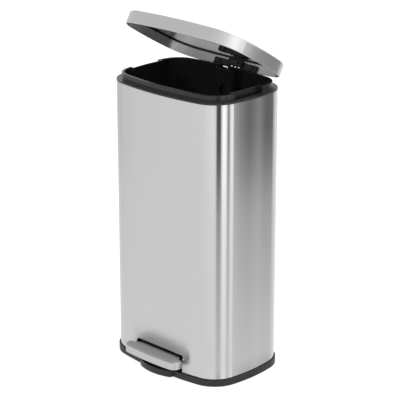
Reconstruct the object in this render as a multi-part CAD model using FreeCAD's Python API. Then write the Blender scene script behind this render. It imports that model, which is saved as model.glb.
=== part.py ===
"""Thirty-litre pedal bin: steel casing, lift-out bucket, hinged lid and pedal linkage.

Frame: millimetres, +Z up, +X to the right, the pedal points along -Y.
The origin is on the floor, under the middle of the casing.
The lid is drawn closed and then swung to its rest opening, LID_REST.
"""
import FreeCAD, Part
import math
import os

V = FreeCAD.Vector

# ---------------------------------------------------------------- casing
CASE_W = 330.0            # width across the steel casing
CASE_D = 235.0            # depth across the steel casing
CASE_TOP = 610.0          # height of the casing's top edge
SHEET = 0.8               # steel sheet thickness
JOIN = 1.0                # overlap of shapes that are joined into one piece
FRONT_BOW = 647.0         # radius of the bowed front and back
SIDE_BOW = 348.0          # radius of the bowed sides
CORNER_R = 61.0           # radius of the four corners
HEM_T = 2.4               # thickness of the folded hem
HEM_H = 3.0               # height of the folded hem
HEM_ROUND = 1.5           # rounding of the hem's outer edge

# ---------------------------------------------------------------- base
RING_TOP = 15.0           # the casing stands on this ledge
RING_PROUD = 3.2          # how far the ring stands out past the casing
RING_IN = 5.0             # inset of the ring's inner wall
RING_LIFT = 1.0           # gap between the ring and the floor
LIP_TOP = 30.0            # top of the lip inside the casing
PLATE_LOW = 3.0           # underside of the base plate
PLATE_T = 3.0             # base plate thickness
PLATE_GAP = 0.3           # clearance round the base plate
FLANGE_W = 12.0           # width of the ring's inner flange
FLANGE_T = 2.5            # thickness of the inner flange
TONGUE_HALF = 46.7        # half width of the tongue under the pedal
TONGUE_BOW = 110.0        # radius of the tongue's front edge
TONGUE_CORNER = 7.0       # rounding of the tongue's front corners
TONGUE_REACH = 18.2       # how far the tongue passes the casing's front
FOOT_R = 9.0              # rubber foot radius
FOOT_IN_X = 53.0          # corner feet, from the casing's sides
FOOT_IN_Y = 45.5          # corner feet, from the casing's front and back
BASE_SCREW_R = 2.0        # screws that hold the base plate
BASE_SCREW_HEAD = 3.8     # radius of their heads
BASE_SCREW_HIGH = 1.6     # height of their heads
BASE_SCREW_IN = 65.0      # screws, from the casing's sides

# ---------------------------------------------------------------- pedal slot
SLOT_HALF = 69.0          # half width of the slot
SLOT_TOP = 52.5           # top edge of the slot
SLOT_ROUND = 4.0          # radius of the slot's upper corners
SCOOP_DEPTH = 7.5         # depth of the pressed scoop at the slot, from the casing's front
SCOOP_RISE = 60.0         # height of the scoop above the slot
SCOOP_HALF = 88.5         # half width of the scoop
SCOOP_DROP = 10.0         # how far the scoop's ends run below the slot's top
SCOOP_SPARE = 14.0        # the pressing tool is wider than the scoop by this
SCOOP_END = 6             # how sharply the scoop's two ends run out
SCOOP_OUT = 0.03          # share by which the pressing tool clears the flat front
SCOOP_UNDER = 0.9         # how fast the scoop runs out under the slot
SCOOP_TOOL = 70.0         # depth of the pressing tool
SCOOP_COLS = 31           # points across the pressed surface
SCOOP_ROWS = 27           # points up the pressed surface
SLOT_TOOL = 30.0          # reach of the slot's cutter each way
GATE_SIDE = 2.0           # the base ring's gap is wider than the slot by this

# ---------------------------------------------------------------- top frame
LEDGE_T = 1.5             # lip that sits on the casing's top edge
LEDGE_ROUND = 0.6         # rounding of that lip's outer edge
SKIRT_GAP = 0.3           # frame skirt to casing hem
SKIRT_T = 2.0             # frame skirt thickness
SKIRT_H = 15.0            # frame skirt height
STAND_OUT = 12.8          # inset of the upstand that carries the bucket
STAND_T = 1.8             # upstand thickness
STAND_TOP = 13.0          # upstand top, above the casing
NOTCH_FRONT = 9.0         # room for the rod's yoke, in front of the rod
NOTCH_SIDE = 0.5          # clearance of that notch to the knuckles
NOTCH_BACK = 1.5          # the notch ends this far in front of the hinge pin

# ---------------------------------------------------------------- bucket
COLLAR_IN = 11.0          # inset of the collar's outer face
COLLAR_LOW = 6.0          # collar's lower edge, above the casing
COLLAR_T = 1.6            # collar thickness
RIM_T = 1.8               # thickness of the rim's top
RIM_ROUND = 1.2           # rounding of the rim's outer edge
WALL_IN = 14.9            # inset of the bucket wall at its top
WALL_T = 1.8              # bucket wall thickness
DRAFT_IN = 9.0            # extra inset at the bottom
BUCKET_LOW = 62.0         # underside of the bucket
FLOOR_T = 2.5             # bucket floor thickness
BUMP_HALF = 25.0          # half width of the channel at the back
BUMP_FACE = 38.5          # casing back to the face of the channel
BUMP_ROUND = 8.0          # rounding of the channel's corners
TUCK_R = 12.5             # round hole for the bag's slack
TUCK_DROP = 32.0          # hole centre below the casing's top
GRIP_HALF = 41.0          # half length of the finger recesses
GRIP_Y = -4.0             # middle of the finger recesses
GRIP_PUSH = 8.0           # the wall stands in by this in the finger recesses
GRIP_DROP = 35.0          # the recesses reach this far below the casing's top

# ---------------------------------------------------------------- lid and hinge
LID_REST = 30.4           # opening of the lid in the stored pose, degrees
LID_GAP = 7.5             # closed: casing top to the skirt's lower edge
LID_SKIRT = 26.5          # skirt height
LID_ROUND = 1.2           # rounding at the skirt's edges
PANEL_RISE = 1.7          # top panel above the skirt
PANEL_GAP = 0.7           # dark seam between skirt and panel
PANEL_ROUND = 1.2         # rounding of the panel's edge
LID_HEM = 1.8             # thickness of the skirt's folded edges
LID_HEM_H = 2.0           # height of those folds
LINER_UP = 22.0           # underside sheet, above the skirt's lower edge
LINER_IN = 2.6            # inset of the underside sheet
SEAL_W = 9.0              # width of the ring between the two sheets
SEAL_T = 2.6              # thickness of that ring
SEAL_LIP = 2.4            # the ring's lip below the underside sheet
SEAL_LIP_T = 1.5          # thickness of the lip
HINGE_IN = 1.5            # hinge axis, inside the casing's back
PIN_R = 2.0               # hinge pin and crank pin radius
HUB_R = 3.4               # radius of the hubs round them
FIT = 0.05                # radial clearance of a running fit
CRANK = 16.0              # length of the lid's crank
CRANK_LAG = 37.5          # closed: crank's angle below level, degrees
ARM_IN = 3.0              # crank arms, from the middle
ARM_T = 3.0               # their thickness
CRANK_PIN_PAST = 0.5      # the crank pin stands out of the arms by this
KNUCKLE_IN = 8.0          # fixed knuckles, from the middle
KNUCKLE_T = 5.0           # their thickness
LUG_IN = 14.0             # lid lugs, from the middle
LUG_T = 5.0               # their thickness
LUG_PLAY = 1.5            # notch in the skirt, past the lugs
HINGE_SIDE_GAP = 1.0      # the hinge pin stands out of the lugs by this
HINGE_FOOT = 12.0         # front edge of the blocks' feet, from the hinge axis
HINGE_FOOT_T = 1.6        # thickness of the feet
HINGE_EDGE = 1.0          # rear face of the blocks, inside the casing's back
HINGE_WEB = 8.0           # front edge of the blocks' webs, from the hinge axis
HINGE_WEB_TOP = 2.6       # top of the web's rear edge, under the hinge axis
HINGE_SCREW_R = 2.2       # radius of the screw heads on the feet
HINGE_SCREW_T = 1.4       # height of those heads
HINGE_SCREW_IN = 8.5      # their distance from the hinge axis
BRACKET_HALF = 60.0       # half width of the lid bracket
BRACKET_T = 3.0           # bracket plate thickness
BRACKET_LOW = 0.8         # bracket's lower edge, above the skirt's lower edge
BRACKET_HIGH = 15.3       # bracket's upper edge, above the skirt's lower edge
BRACKET_ROUND = 3.0       # rounding of the bracket's corners
BRACKET_CLEAR = 4.5       # middle of the bracket, above the hinge axis
BRACKET_SCREW_X = 47.0    # bracket screws, from the middle
BRACKET_SCREW_R = 1.5     # their shanks
BRACKET_HEAD_R = 3.2      # their heads
BRACKET_HEAD_T = 2.0      # height of their heads
BRACKET_PAD_R = 4.6       # flat pad under each head
BRACKET_PAD_T = 0.6       # height of the pad
BLOCK_HALF = 19.5         # half width of the block in the bracket's middle
BLOCK_OUT = 6.0           # how far the block stands out from the plate
BLOCK_HIGH = 18.5         # top of the block, above the skirt's lower edge
BLOCK_ROUND = 1.5         # rounding of the block
BLOCK_HOLE_X = 10.5       # blind hole in the block's face
BLOCK_HOLE_R = 2.6        # its radius
BLOCK_HOLE_DEEP = 4.0     # its depth
WEB_UP = 6.0              # the arms' webs end this far up the middle of the plate
WEB_OUT = 1.0             # the webs' front edge, in front of the plate's face

# ---------------------------------------------------------------- push rod and damper
ROD_R = 3.0               # push rod radius
ROD_BACK = 16.0           # rod axis, inside the casing's back
YOKE_T = 4.8              # thickness of the yoke on its top
YOKE_PLAY = 0.75          # clearance of the crank pin in the yoke's slot
YOKE_HALF = 7.0           # half depth of the yoke
YOKE_ABOVE = 6.0          # the yoke above its slot's middle
YOKE_BELOW = 7.0          # the yoke below its slot's middle
YOKE_NECK = 12.0          # length of its neck
YOKE_NECK_R = 4.5         # radius of its neck
YOKE_SPARE = 0.5          # the slot is longer than the pin's sweep by this
SPIGOT_R = 1.5            # the rod's thin end inside the neck
SPIGOT = 10.0             # its length
FOOT_ROLL_R = 5.0         # roll on the rod's foot
ROLL_HALF = 6.0           # half width of the roll
ROLL_NECK = 12.0          # height of the foot's neck
ROLL_BORE = 4.0           # the rod starts this far above the roll's middle
ROLL_GAP = 0.5            # roll to lever
CHANNEL_HALF = 21.0       # outer half width of the rod channel
CHANNEL_T = 2.0           # its wall
CHANNEL_FACE = 31.5       # casing back to the channel's face
CHANNEL_OPEN = 60.0       # the channel's face starts here
CHANNEL_GAP = 1.0         # channel's rear edges to the base ring
CHANNEL_ROOM = 2.3        # channel to the frame's skirt
GUIDE_LOW = 140.0         # height of the lower rod guide
GUIDE_HIGH = 520.0        # height of the upper rod guide
GUIDE_T = 10.0            # their thickness
GUIDE_HALF = 8.0          # half width of the upper guide
GUIDE_PAST = 7.0          # the guides end this far behind the rod
GUIDE_SCREW_R = 3.0       # radius of the guides' screw heads
GUIDE_SCREW_T = 1.8       # height of those heads
DAMPER_X = 12.0           # damper axis, from the middle
DAMPER_R = 5.5            # damper radius
DAMPER_BORE = 4.0         # radius of its bore
DAMPER_LEN = 70.0         # length of its cylinder
DAMPER_END = 3.0          # thickness of its lower end; the upper end has twice that
DAMPER_ROD_R = 1.5        # radius of its rod
PISTON_UP = 26.0          # underside of the piston, above the cylinder's foot
PISTON_T = 6.0            # piston thickness
CLIP_UP = 95.0            # clip above the lower guide
CLIP_T = 7.0              # thickness of the clip that ties damper and rod
CLIP_HALF = 6.0           # the clip reaches this far round each

# ---------------------------------------------------------------- pedal
PEDAL_HALF = 78.0         # half width of the pedal's wide part
PEDAL_REACH = 32.0        # front edge, past the casing's front
PEDAL_TOP = 47.5          # rim of the pedal's top
PEDAL_LOW = 31.5          # lower edge of its skirt
PEDAL_R = 17.0            # front corner radius
PEDAL_EDGE = 2.0          # rounding of its top edge
PEDAL_SHEET = 1.0         # pedal sheet thickness
PAD_RISE = 0.6            # raised field on the top
PAD_IN = 6.0              # the field's inset from the pedal's edge
PAD_ROUND = 0.5           # rounding of the field's edge
NECK_HALF = 62.5          # half width of the part that passes through the slot
NECK_IN = 19.5            # how far it reaches behind the casing's front
NECK_LOW = 38.0           # lower edge of its sides
SHOULDER_OUT = 4.5        # rear edge of the wide part, past the casing's front
SHOULDER_R = 4.0          # rounding of its rear corners
PIVOT_Y = -40.0           # pedal axle
PIVOT_Z = 23.5            # its height
AXLE_R = 3.0              # axle radius
AXLE_HALF = 40.0          # half length of the axle
LEVER_LOW = 31.5          # underside of the lever
LEVER_T = 3.0             # lever thickness
LEVER_HALF = 20.0         # half width of the lever
LEVER_PLATE_HALF = 50.0   # half width of its plate inside the pedal
LEVER_PLATE_IN = 7.0      # that plate's front edge, inside the pedal's front
LEVER_LAP = 6.0           # that plate's rear edge, in front of the neck's end
LEVER_BAR = 30.0          # the lever narrows this far behind its pivot
TAIL_HALF = 12.0          # the lever's tail inside the channel
TAIL_PAST = 3.0           # the tail ends this far behind the rod's foot
EAR_T = 3.0               # ears that hold the axle
EAR_R = 7.0               # radius of the ears
RIVET_R = 2.5             # rivets that hold the pedal on its lever
RIVET_HEAD = 1.8          # their heads are wider by this
RIVET_HEAD_T = 1.0        # height of their heads
RIVET_X = 38.0            # outer rivets, from the middle
RIVET_OUT = 10.5          # outer rivets, past the casing's front
RIVET_BOW = 6.0           # the middle rivet stands this much further out
STAND_IN = 26.0           # bearing stands, from the middle
STAND_W = 10.0            # their width
STAND_D = 22.0            # their depth
STAND_EDGE = 3.0          # the stand's round top is smaller than its depth by this
STAND_CAP = 2.0           # the stand's block ends this far above the axle
BUSH_WALL = 2.0           # wall of the bushes in them
BUSH_FLANGE = 2.0         # width and thickness of the bushes' flanges
CLIP_W = 1.5              # clips on the axle's ends
CLIP_RIM = 2.2            # wider than the axle by this
CLIP_GAP = 0.5            # clip to stand
STOP_R = 5.0              # rubber post under the lever's tail
STOP_IN = 14.0            # its middle, in front of the rod
STOP_GAP = 0.4            # its top to the tail, lid shut

# worked-out places
FRONT = -CASE_D / 2
BACK = CASE_D / 2
PLATE_TOP = PLATE_LOW + PLATE_T
HINGE_Y = BACK - HINGE_IN
HINGE_Z = CASE_TOP + LID_GAP
LID_LOW = CASE_TOP + LID_GAP
LID_HIGH = LID_LOW + LID_SKIRT
LINER_LOW = LID_LOW + LINER_UP
SEAL_LOW = LINER_LOW + SHEET
BUCKET_TOP = CASE_TOP + STAND_TOP
COLLAR_TOP = BUCKET_TOP + RIM_T
LIP_IN = HEM_T + SKIRT_GAP + SKIRT_T
LEDGE_W = STAND_OUT + STAND_T
SLOT_GATE = SLOT_HALF + GATE_SIDE
SHOULDER_Y = FRONT - SHOULDER_OUT
NECK_Y = FRONT + NECK_IN
ROD_Y = BACK - ROD_BACK
BUMP_Y = BACK - BUMP_FACE
CHANNEL_Y = BACK - CHANNEL_FACE
CHANNEL_BACK = BACK - RING_IN - CHANNEL_GAP
LEVER_TOP = LEVER_LOW + LEVER_T
TAIL_END = ROD_Y + FOOT_ROLL_R + TAIL_PAST
LUG_END = LUG_IN + LUG_T
BRACKET_FACE = BACK - LID_HEM - FIT - BRACKET_T
BRACKET_MID = LID_LOW + (BRACKET_LOW + BRACKET_HIGH) / 2
SCREW_DROP = FRONT_BOW - math.sqrt(FRONT_BOW ** 2 - BRACKET_SCREW_X ** 2)
PAD_FACE = BRACKET_FACE - SCREW_DROP - BRACKET_PAD_T
SCREW_SEAT = PAD_FACE + BRACKET_PAD_T + JOIN
SCREW_END = PAD_FACE + BRACKET_T


# ---------------------------------------------------------------- shapes
def outline(inset):
    """Closed plan outline of the casing, moved in by inset (out if negative)."""
    w, d = CASE_W / 2 - inset, CASE_D / 2 - inset
    rf, rs, rc = FRONT_BOW - inset, SIDE_BOW - inset, CORNER_R - inset
    front_c, side_c = V(0, rf - d, 0), V(w - rs, 0, 0)
    # The corner's centre lies rf - rc from the front's and rs - rc from the side's.
    a, b = rf - rc, rs - rc
    gap = side_c - front_c
    span = gap.Length
    along = (a * a - b * b + span * span) / (2 * span)
    off = math.sqrt(a * a - along * along)
    unit = gap / span
    corner_c = front_c + unit * along + V(-unit.y, unit.x, 0) * off
    to_front = (corner_c - front_c).normalize()
    to_side = (corner_c - side_c).normalize()
    p_front = front_c + to_front * rf
    p_side = side_c + to_side * rs
    p_mid = corner_c + (to_front + to_side).normalize() * rc

    def flip(p, sx, sy):
        return V(p.x * sx, p.y * sy, 0)

    right, left = V(w, 0, 0), V(-w, 0, 0)
    front, back = V(0, -d, 0), V(0, d, 0)
    runs = [
        (flip(p_front, -1, 1), front, p_front),
        (p_front, p_mid, p_side),
        (p_side, right, flip(p_side, 1, -1)),
        (flip(p_side, 1, -1), flip(p_mid, 1, -1), flip(p_front, 1, -1)),
        (flip(p_front, 1, -1), back, flip(p_front, -1, -1)),
        (flip(p_front, -1, -1), flip(p_mid, -1, -1), flip(p_side, -1, -1)),
        (flip(p_side, -1, -1), left, flip(p_side, -1, 1)),
        (flip(p_side, -1, 1), flip(p_mid, -1, 1), flip(p_front, -1, 1)),
    ]
    return Part.Wire([Part.Arc(*run).toShape() for run in runs])


def prism(inset, low, high):
    face = Part.Face(outline(inset))
    face.translate(V(0, 0, low))
    return face.extrude(V(0, 0, high - low))


def ring(outer, inner, low, high):
    return prism(outer, low, high).cut(prism(inner, low, high))


def box(x0, x1, y0, y1, z0, z1):
    return Part.makeBox(x1 - x0, y1 - y0, z1 - z0, V(x0, y0, z0))


def rod(radius, start, end):
    along = V(*end) - V(*start)
    return Part.makeCylinder(radius, along.Length, V(*start), along)


def cross_rod(radius, y, z, half):
    return rod(radius, (-half, y, z), (half, y, z))


def plate_yz(points, x0, x1):
    """A plate across X from a closed list of (y, z) points."""
    wire = Part.makePolygon([V(x0, y, z) for y, z in points + points[:1]])
    return Part.Face(wire).extrude(V(x1 - x0, 0, 0))


def span(side, near, far):
    """Ordered x range of a stretch from near to far on one side."""
    return (near, far) if side > 0 else (-far, -near)


def join(shapes):
    return shapes[0].multiFuse(shapes[1:]).removeSplitter()


def round_edges(shape, radius, keep):
    edges = [e for e in shape.Edges if keep(e)]
    return shape.makeFillet(radius, edges)


def at_height(z):
    return lambda e: abs(e.BoundBox.ZMin - z) < 1e-4 and abs(e.BoundBox.ZMax - z) < 1e-4


def on_outline(e, inset):
    """True for an edge that runs along the plan outline at this inset."""
    p = e.valueAt((e.FirstParameter + e.LastParameter) / 2)
    wire = outline(inset)
    wire.translate(V(0, 0, p.z))
    return wire.distToShape(Part.Vertex(p))[0] < 0.01


def upright(e):
    return e.BoundBox.ZLength > 1e-3 and e.BoundBox.XLength < 1e-4 and e.BoundBox.YLength < 1e-4


def as_opened(shape):
    """Swings a closed lid piece up to the rest opening."""
    out = shape.copy()
    out.rotate(V(0, HINGE_Y, HINGE_Z), V(1, 0, 0), -LID_REST)
    return out


def crank_tip(angle):
    """Place of the crank pin with the crank this far above level, degrees."""
    turn = math.radians(angle)
    return HINGE_Y - CRANK * math.cos(turn), HINGE_Z + CRANK * math.sin(turn)


YOKE_Z = crank_tip(LID_REST - CRANK_LAG)[1]
YOKE_LOW = YOKE_Z - YOKE_BELOW
ROD_HIGH = YOKE_LOW - YOKE_NECK
ROD_LOW = LEVER_TOP + ROLL_GAP + FOOT_ROLL_R
DAMPER_LOW = GUIDE_LOW + GUIDE_T
CLIP_LOW = GUIDE_LOW + CLIP_UP

nodes = {}


# ---------------------------------------------------------------- casing
def scoop_tool(shift):
    """Solid that presses the scoop into the front; shift moves its face back."""
    low, high = SLOT_TOP - 2 * SCOOP_DROP, SLOT_TOP + SCOOP_RISE
    half = SCOOP_HALF + SCOOP_SPARE
    grid = []
    for j in range(SCOOP_ROWS):
        z = low + (high - low) * j / (SCOOP_ROWS - 1)
        fade = min((high - z) / SCOOP_RISE, 1.0)
        under = max(0.0, (SLOT_TOP - z) / SCOOP_DROP)
        line = []
        for i in range(SCOOP_COLS):
            x = -half + 2 * half * i / (SCOOP_COLS - 1)
            bow = FRONT_BOW - math.sqrt(FRONT_BOW ** 2 - x * x)
            share = fade ** 2 * (1 - (x / SCOOP_HALF) ** SCOOP_END)
            share = share - SCOOP_OUT - SCOOP_UNDER * under ** 2
            depth = SCOOP_DEPTH - bow if share > 0 else SCOOP_DEPTH  # beside the scoop it stays clear
            line.append(V(x, FRONT + bow + depth * share + shift, z))
        grid.append(line)
    surface = Part.BSplineSurface()
    surface.interpolate(grid)
    return surface.toShape().extrude(V(0, -SCOOP_TOOL, 0))


def slot_tool():
    deep = box(-SLOT_HALF, SLOT_HALF, FRONT - SLOT_TOOL, FRONT + SLOT_TOOL, 0, SLOT_TOP)
    return round_edges(deep, SLOT_ROUND,
                       lambda e: e.BoundBox.YLength > SLOT_TOOL and e.BoundBox.ZMin > RING_TOP)


def outer_shell():
    skin = prism(0, RING_TOP, CASE_TOP)
    skin = round_edges(skin, HEM_ROUND, at_height(RING_TOP))
    skin = round_edges(skin, HEM_ROUND, at_height(CASE_TOP))
    core = prism(SHEET, RING_TOP + HEM_H, CASE_TOP - HEM_H)
    mouth = prism(HEM_T, RING_TOP, CASE_TOP)
    skin = skin.cut(scoop_tool(0))
    core = core.cut(scoop_tool(SHEET))
    return skin.cut(core).cut(mouth.cut(scoop_tool(SHEET))).cut(slot_tool())


nodes["outer_shell"] = outer_shell()


# ---------------------------------------------------------------- base
def base_screw_places():
    x = CASE_W / 2 - BASE_SCREW_IN
    bow = FRONT_BOW - math.sqrt(FRONT_BOW ** 2 - x * x)
    y = CASE_D / 2 - bow - RING_IN - FLANGE_W / 2
    return [(sx * x, sy * y) for sx in (-1, 1) for sy in (-1, 1)]


def tongue():
    """Flat tongue under the pedal, with a bowed front edge."""
    front = FRONT - TONGUE_REACH
    edge_y = front + TONGUE_BOW - math.sqrt(TONGUE_BOW ** 2 - TONGUE_HALF ** 2)
    rear = FRONT + RING_IN - JOIN
    left, right = V(-TONGUE_HALF, edge_y, RING_LIFT), V(TONGUE_HALF, edge_y, RING_LIFT)
    nose = Part.Arc(left, V(0, front, RING_LIFT), right).toShape()
    rest = Part.makePolygon([right, V(TONGUE_HALF, rear, RING_LIFT), V(-TONGUE_HALF, rear, RING_LIFT), left])
    solid = Part.Face(Part.Wire([nose] + rest.Edges)).extrude(V(0, 0, RING_TOP - RING_LIFT))
    solid = round_edges(solid, TONGUE_CORNER, lambda e: upright(e) and e.BoundBox.YMax < edge_y + 0.1)
    return solid.cut(prism(RING_IN - JOIN, 0, RING_TOP))


def base_ring():
    band = ring(-RING_PROUD, RING_IN, RING_LIFT, RING_TOP)
    lip = ring(HEM_T + SKIRT_GAP, RING_IN, RING_TOP, LIP_TOP)
    flange = ring(RING_IN - JOIN, RING_IN + FLANGE_W, PLATE_TOP, PLATE_TOP + FLANGE_T)
    body = join([band, lip, flange, tongue()])
    return body.cut(box(-SLOT_GATE, SLOT_GATE, FRONT, FRONT + SLOT_TOOL, RING_TOP, LIP_TOP))


def base_plate():
    plate = prism(RING_IN + PLATE_GAP, PLATE_LOW, PLATE_TOP)
    for x, y in base_screw_places():
        plate = plate.cut(rod(BASE_SCREW_R, (x, y, 0), (x, y, PLATE_TOP)))
    return plate


def base_screws():
    out = []
    for x, y in base_screw_places():
        head = rod(BASE_SCREW_HEAD, (x, y, PLATE_LOW - BASE_SCREW_HIGH), (x, y, PLATE_LOW))
        shank = rod(BASE_SCREW_R, (x, y, PLATE_LOW), (x, y, PLATE_TOP))
        out.append(head.fuse(shank).removeSplitter())
    return Part.makeCompound(out)


def rubber_feet():
    x, y = CASE_W / 2 - FOOT_IN_X, CASE_D / 2 - FOOT_IN_Y
    spots = [(0, 0)] + [(sx * x, sy * y) for sx in (-1, 1) for sy in (-1, 1)]
    return Part.makeCompound([rod(FOOT_R, (px, py, 0), (px, py, PLATE_LOW)) for px, py in spots])


nodes["base_ring"] = base_ring()
nodes["base_plate"] = base_plate()
nodes["base_screws"] = base_screws()
nodes["rubber_feet"] = rubber_feet()


# ---------------------------------------------------------------- top frame
def grip_boxes(grow, low, high):
    """Stretches of the two short sides where the finger recesses are."""
    y0, y1 = GRIP_Y - GRIP_HALF - grow, GRIP_Y + GRIP_HALF + grow
    return [box(*span(s, CASE_W / 4, CASE_W / 2), y0, y1, low, high) for s in (1, -1)]


def top_frame():
    top = CASE_TOP
    ledge = ring(0, LEDGE_W, top, top + LEDGE_T)
    ledge = round_edges(ledge, LEDGE_ROUND, lambda e: at_height(top + LEDGE_T)(e) and on_outline(e, 0))
    skirt = ring(HEM_T + SKIRT_GAP, LIP_IN, top - SKIRT_H, top)
    stand = ring(STAND_OUT, STAND_OUT + STAND_T, top + LEDGE_T, top + STAND_TOP)
    stand = stand.cut(box(-BUMP_HALF, BUMP_HALF, 0, BACK, top, top + STAND_TOP))
    for grip in grip_boxes(0, top + LEDGE_T, top + STAND_TOP):
        stand = stand.cut(grip)
    bridge = box(-CHANNEL_HALF, CHANNEL_HALF, CHANNEL_Y, BACK - LEDGE_W + JOIN, top, top + LEDGE_T)
    body = join([ledge, skirt, stand, bridge])
    notch = KNUCKLE_IN - NOTCH_SIDE
    front, back = ROD_Y - NOTCH_FRONT, HINGE_Y - NOTCH_BACK
    return body.cut(box(-notch, notch, front, back, top - SKIRT_H, top + LEDGE_T))


nodes["top_frame"] = top_frame()


# ---------------------------------------------------------------- bucket
def tapered(inset, low, high):
    """Bucket solid between two heights; its inset grows evenly towards the bottom."""
    def at(z):
        extra = DRAFT_IN * (BUCKET_TOP - z) / (BUCKET_TOP - BUCKET_LOW)
        wire = outline(inset + extra)
        wire.translate(V(0, 0, z))
        return wire
    return Part.makeLoft([at(low), at(high)], True, True)


def bump_tool(grow, low, high):
    deep = box(-BUMP_HALF - grow, BUMP_HALF + grow, BUMP_Y - grow + WALL_T, 2 * BACK, low, high)
    return round_edges(deep, BUMP_ROUND + grow, lambda e: upright(e) and e.BoundBox.YMax < BACK)


def pocket_tools(grow, high):
    """The two finger recesses as solids, grown on every side that faces the bucket."""
    low = CASE_TOP - GRIP_DROP - grow
    band = ring(0, WALL_IN + GRIP_PUSH + grow, low, high)
    return [band.common(grip) for grip in grip_boxes(grow, low, high)]


def cut_all(shape, tools):
    for tool in tools:
        shape = shape.cut(tool)
    return shape


def inner_bucket():
    top, over = BUCKET_TOP, COLLAR_TOP + JOIN
    outside = tapered(WALL_IN, BUCKET_LOW, top)
    inside = tapered(WALL_IN + WALL_T, BUCKET_LOW + FLOOR_T, top)
    rim = ring(COLLAR_IN, WALL_IN + WALL_T, top, COLLAR_TOP)
    collar = ring(COLLAR_IN, COLLAR_IN + COLLAR_T, CASE_TOP + COLLAR_LOW, COLLAR_TOP)
    rim = round_edges(join([rim, collar]), RIM_ROUND,
                      lambda e: at_height(COLLAR_TOP)(e) and on_outline(e, COLLAR_IN))
    outer_tools = [bump_tool(0, 0, over)] + pocket_tools(0, over)
    inner_tools = [bump_tool(WALL_T, 0, over)] + pocket_tools(WALL_T, over)
    hollow = cut_all(inside, inner_tools)
    mouth = cut_all(prism(WALL_IN + WALL_T, top, COLLAR_TOP), inner_tools)
    plate = prism(WALL_IN - JOIN, top, COLLAR_TOP)
    body = cut_all(join([outside, rim, plate]), outer_tools).cut(hollow).cut(mouth)
    z = CASE_TOP - TUCK_DROP
    return body.cut(rod(TUCK_R, (0, BUMP_Y - TUCK_R, z), (0, BUMP_Y + TUCK_R, z)))


nodes["inner_bucket"] = inner_bucket()


# ---------------------------------------------------------------- lid
def lid_skirt():
    skin = prism(0, LID_LOW, LID_HIGH)
    skin = round_edges(skin, LID_ROUND, at_height(LID_LOW))
    skin = round_edges(skin, LID_ROUND, at_height(LID_HIGH))
    body = skin.cut(prism(SHEET, LID_LOW + LID_HEM_H, LID_HIGH - LID_HEM_H))
    body = body.cut(prism(LID_HEM, LID_LOW, LID_HIGH))
    gate = LUG_END + LUG_PLAY
    return body.cut(box(-gate, gate, 0, BACK, LID_LOW, HINGE_Z + BRACKET_CLEAR))


def lid_top():
    low, high = SEAL_LOW + SEAL_T, LID_HIGH + PANEL_RISE
    panel = round_edges(prism(LID_HEM + PANEL_GAP, low, high), PANEL_ROUND, at_height(high))
    return panel.cut(prism(LID_HEM + PANEL_GAP + SHEET, low, high - SHEET))


def lid_seal():
    inset = LID_HEM + FIT
    spacer = ring(inset, inset + SEAL_W, SEAL_LOW, SEAL_LOW + SEAL_T)
    edge = ring(inset, LINER_IN, LINER_LOW - SEAL_LIP, SEAL_LOW)
    lip = ring(inset, inset + SEAL_LIP_T, LINER_LOW - SEAL_LIP, LINER_LOW)
    return join([spacer, edge, lip])


def lid_liner():
    return prism(LINER_IN, LINER_LOW, SEAL_LOW)


def bracket_plate():
    """Plate along the back of the skirt, with rounded ends."""
    low, high, near = LID_LOW + BRACKET_LOW, LID_LOW + BRACKET_HIGH, LID_HEM + FIT
    plate = ring(near, near + BRACKET_T, low, high)
    plate = plate.common(box(-BRACKET_HALF, BRACKET_HALF, 0, BACK, low, high))
    plate = round_edges(plate, BRACKET_ROUND,
                        lambda e: e.BoundBox.XLength < 1e-3 and e.BoundBox.ZLength < 1e-3)
    gate = LUG_END + LUG_PLAY
    return plate.cut(box(-gate, gate, 0, BACK, low, HINGE_Z + BRACKET_CLEAR))


def bracket_block():
    """Solid block in the middle of the bracket, with a blind hole in its face."""
    low, high, front = HINGE_Z + BRACKET_CLEAR, LID_LOW + BLOCK_HIGH, BRACKET_FACE - BLOCK_OUT
    block = box(-BLOCK_HALF, BLOCK_HALF, front, BRACKET_FACE + JOIN, low, high)
    block = round_edges(block, BLOCK_ROUND, lambda e: e.BoundBox.YMax < front + 1e-3)
    z = (low + high) / 2
    return block.cut(rod(BLOCK_HOLE_R, (BLOCK_HOLE_X, front, z), (BLOCK_HOLE_X, front + BLOCK_HOLE_DEEP, z)))


def crank_arm(side):
    """One arm of the lid's crank, from the hinge to the crank pin."""
    x0, x1 = span(side, ARM_IN, ARM_IN + ARM_T)
    tip = crank_tip(-CRANK_LAG)
    turn = math.radians(CRANK_LAG)
    dy, dz = HUB_R * math.sin(turn), HUB_R * math.cos(turn)
    bar = [(HINGE_Y - dy, HINGE_Z + dz), (HINGE_Y + dy, HINGE_Z - dz),
           (tip[0] + dy, tip[1] - dz), (tip[0] - dy, tip[1] + dz)]
    return [rod(HUB_R, (x0, HINGE_Y, HINGE_Z), (x1, HINGE_Y, HINGE_Z)),
            rod(HUB_R, (x0, *tip), (x1, *tip)), plate_yz(bar, x0, x1)]


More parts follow.
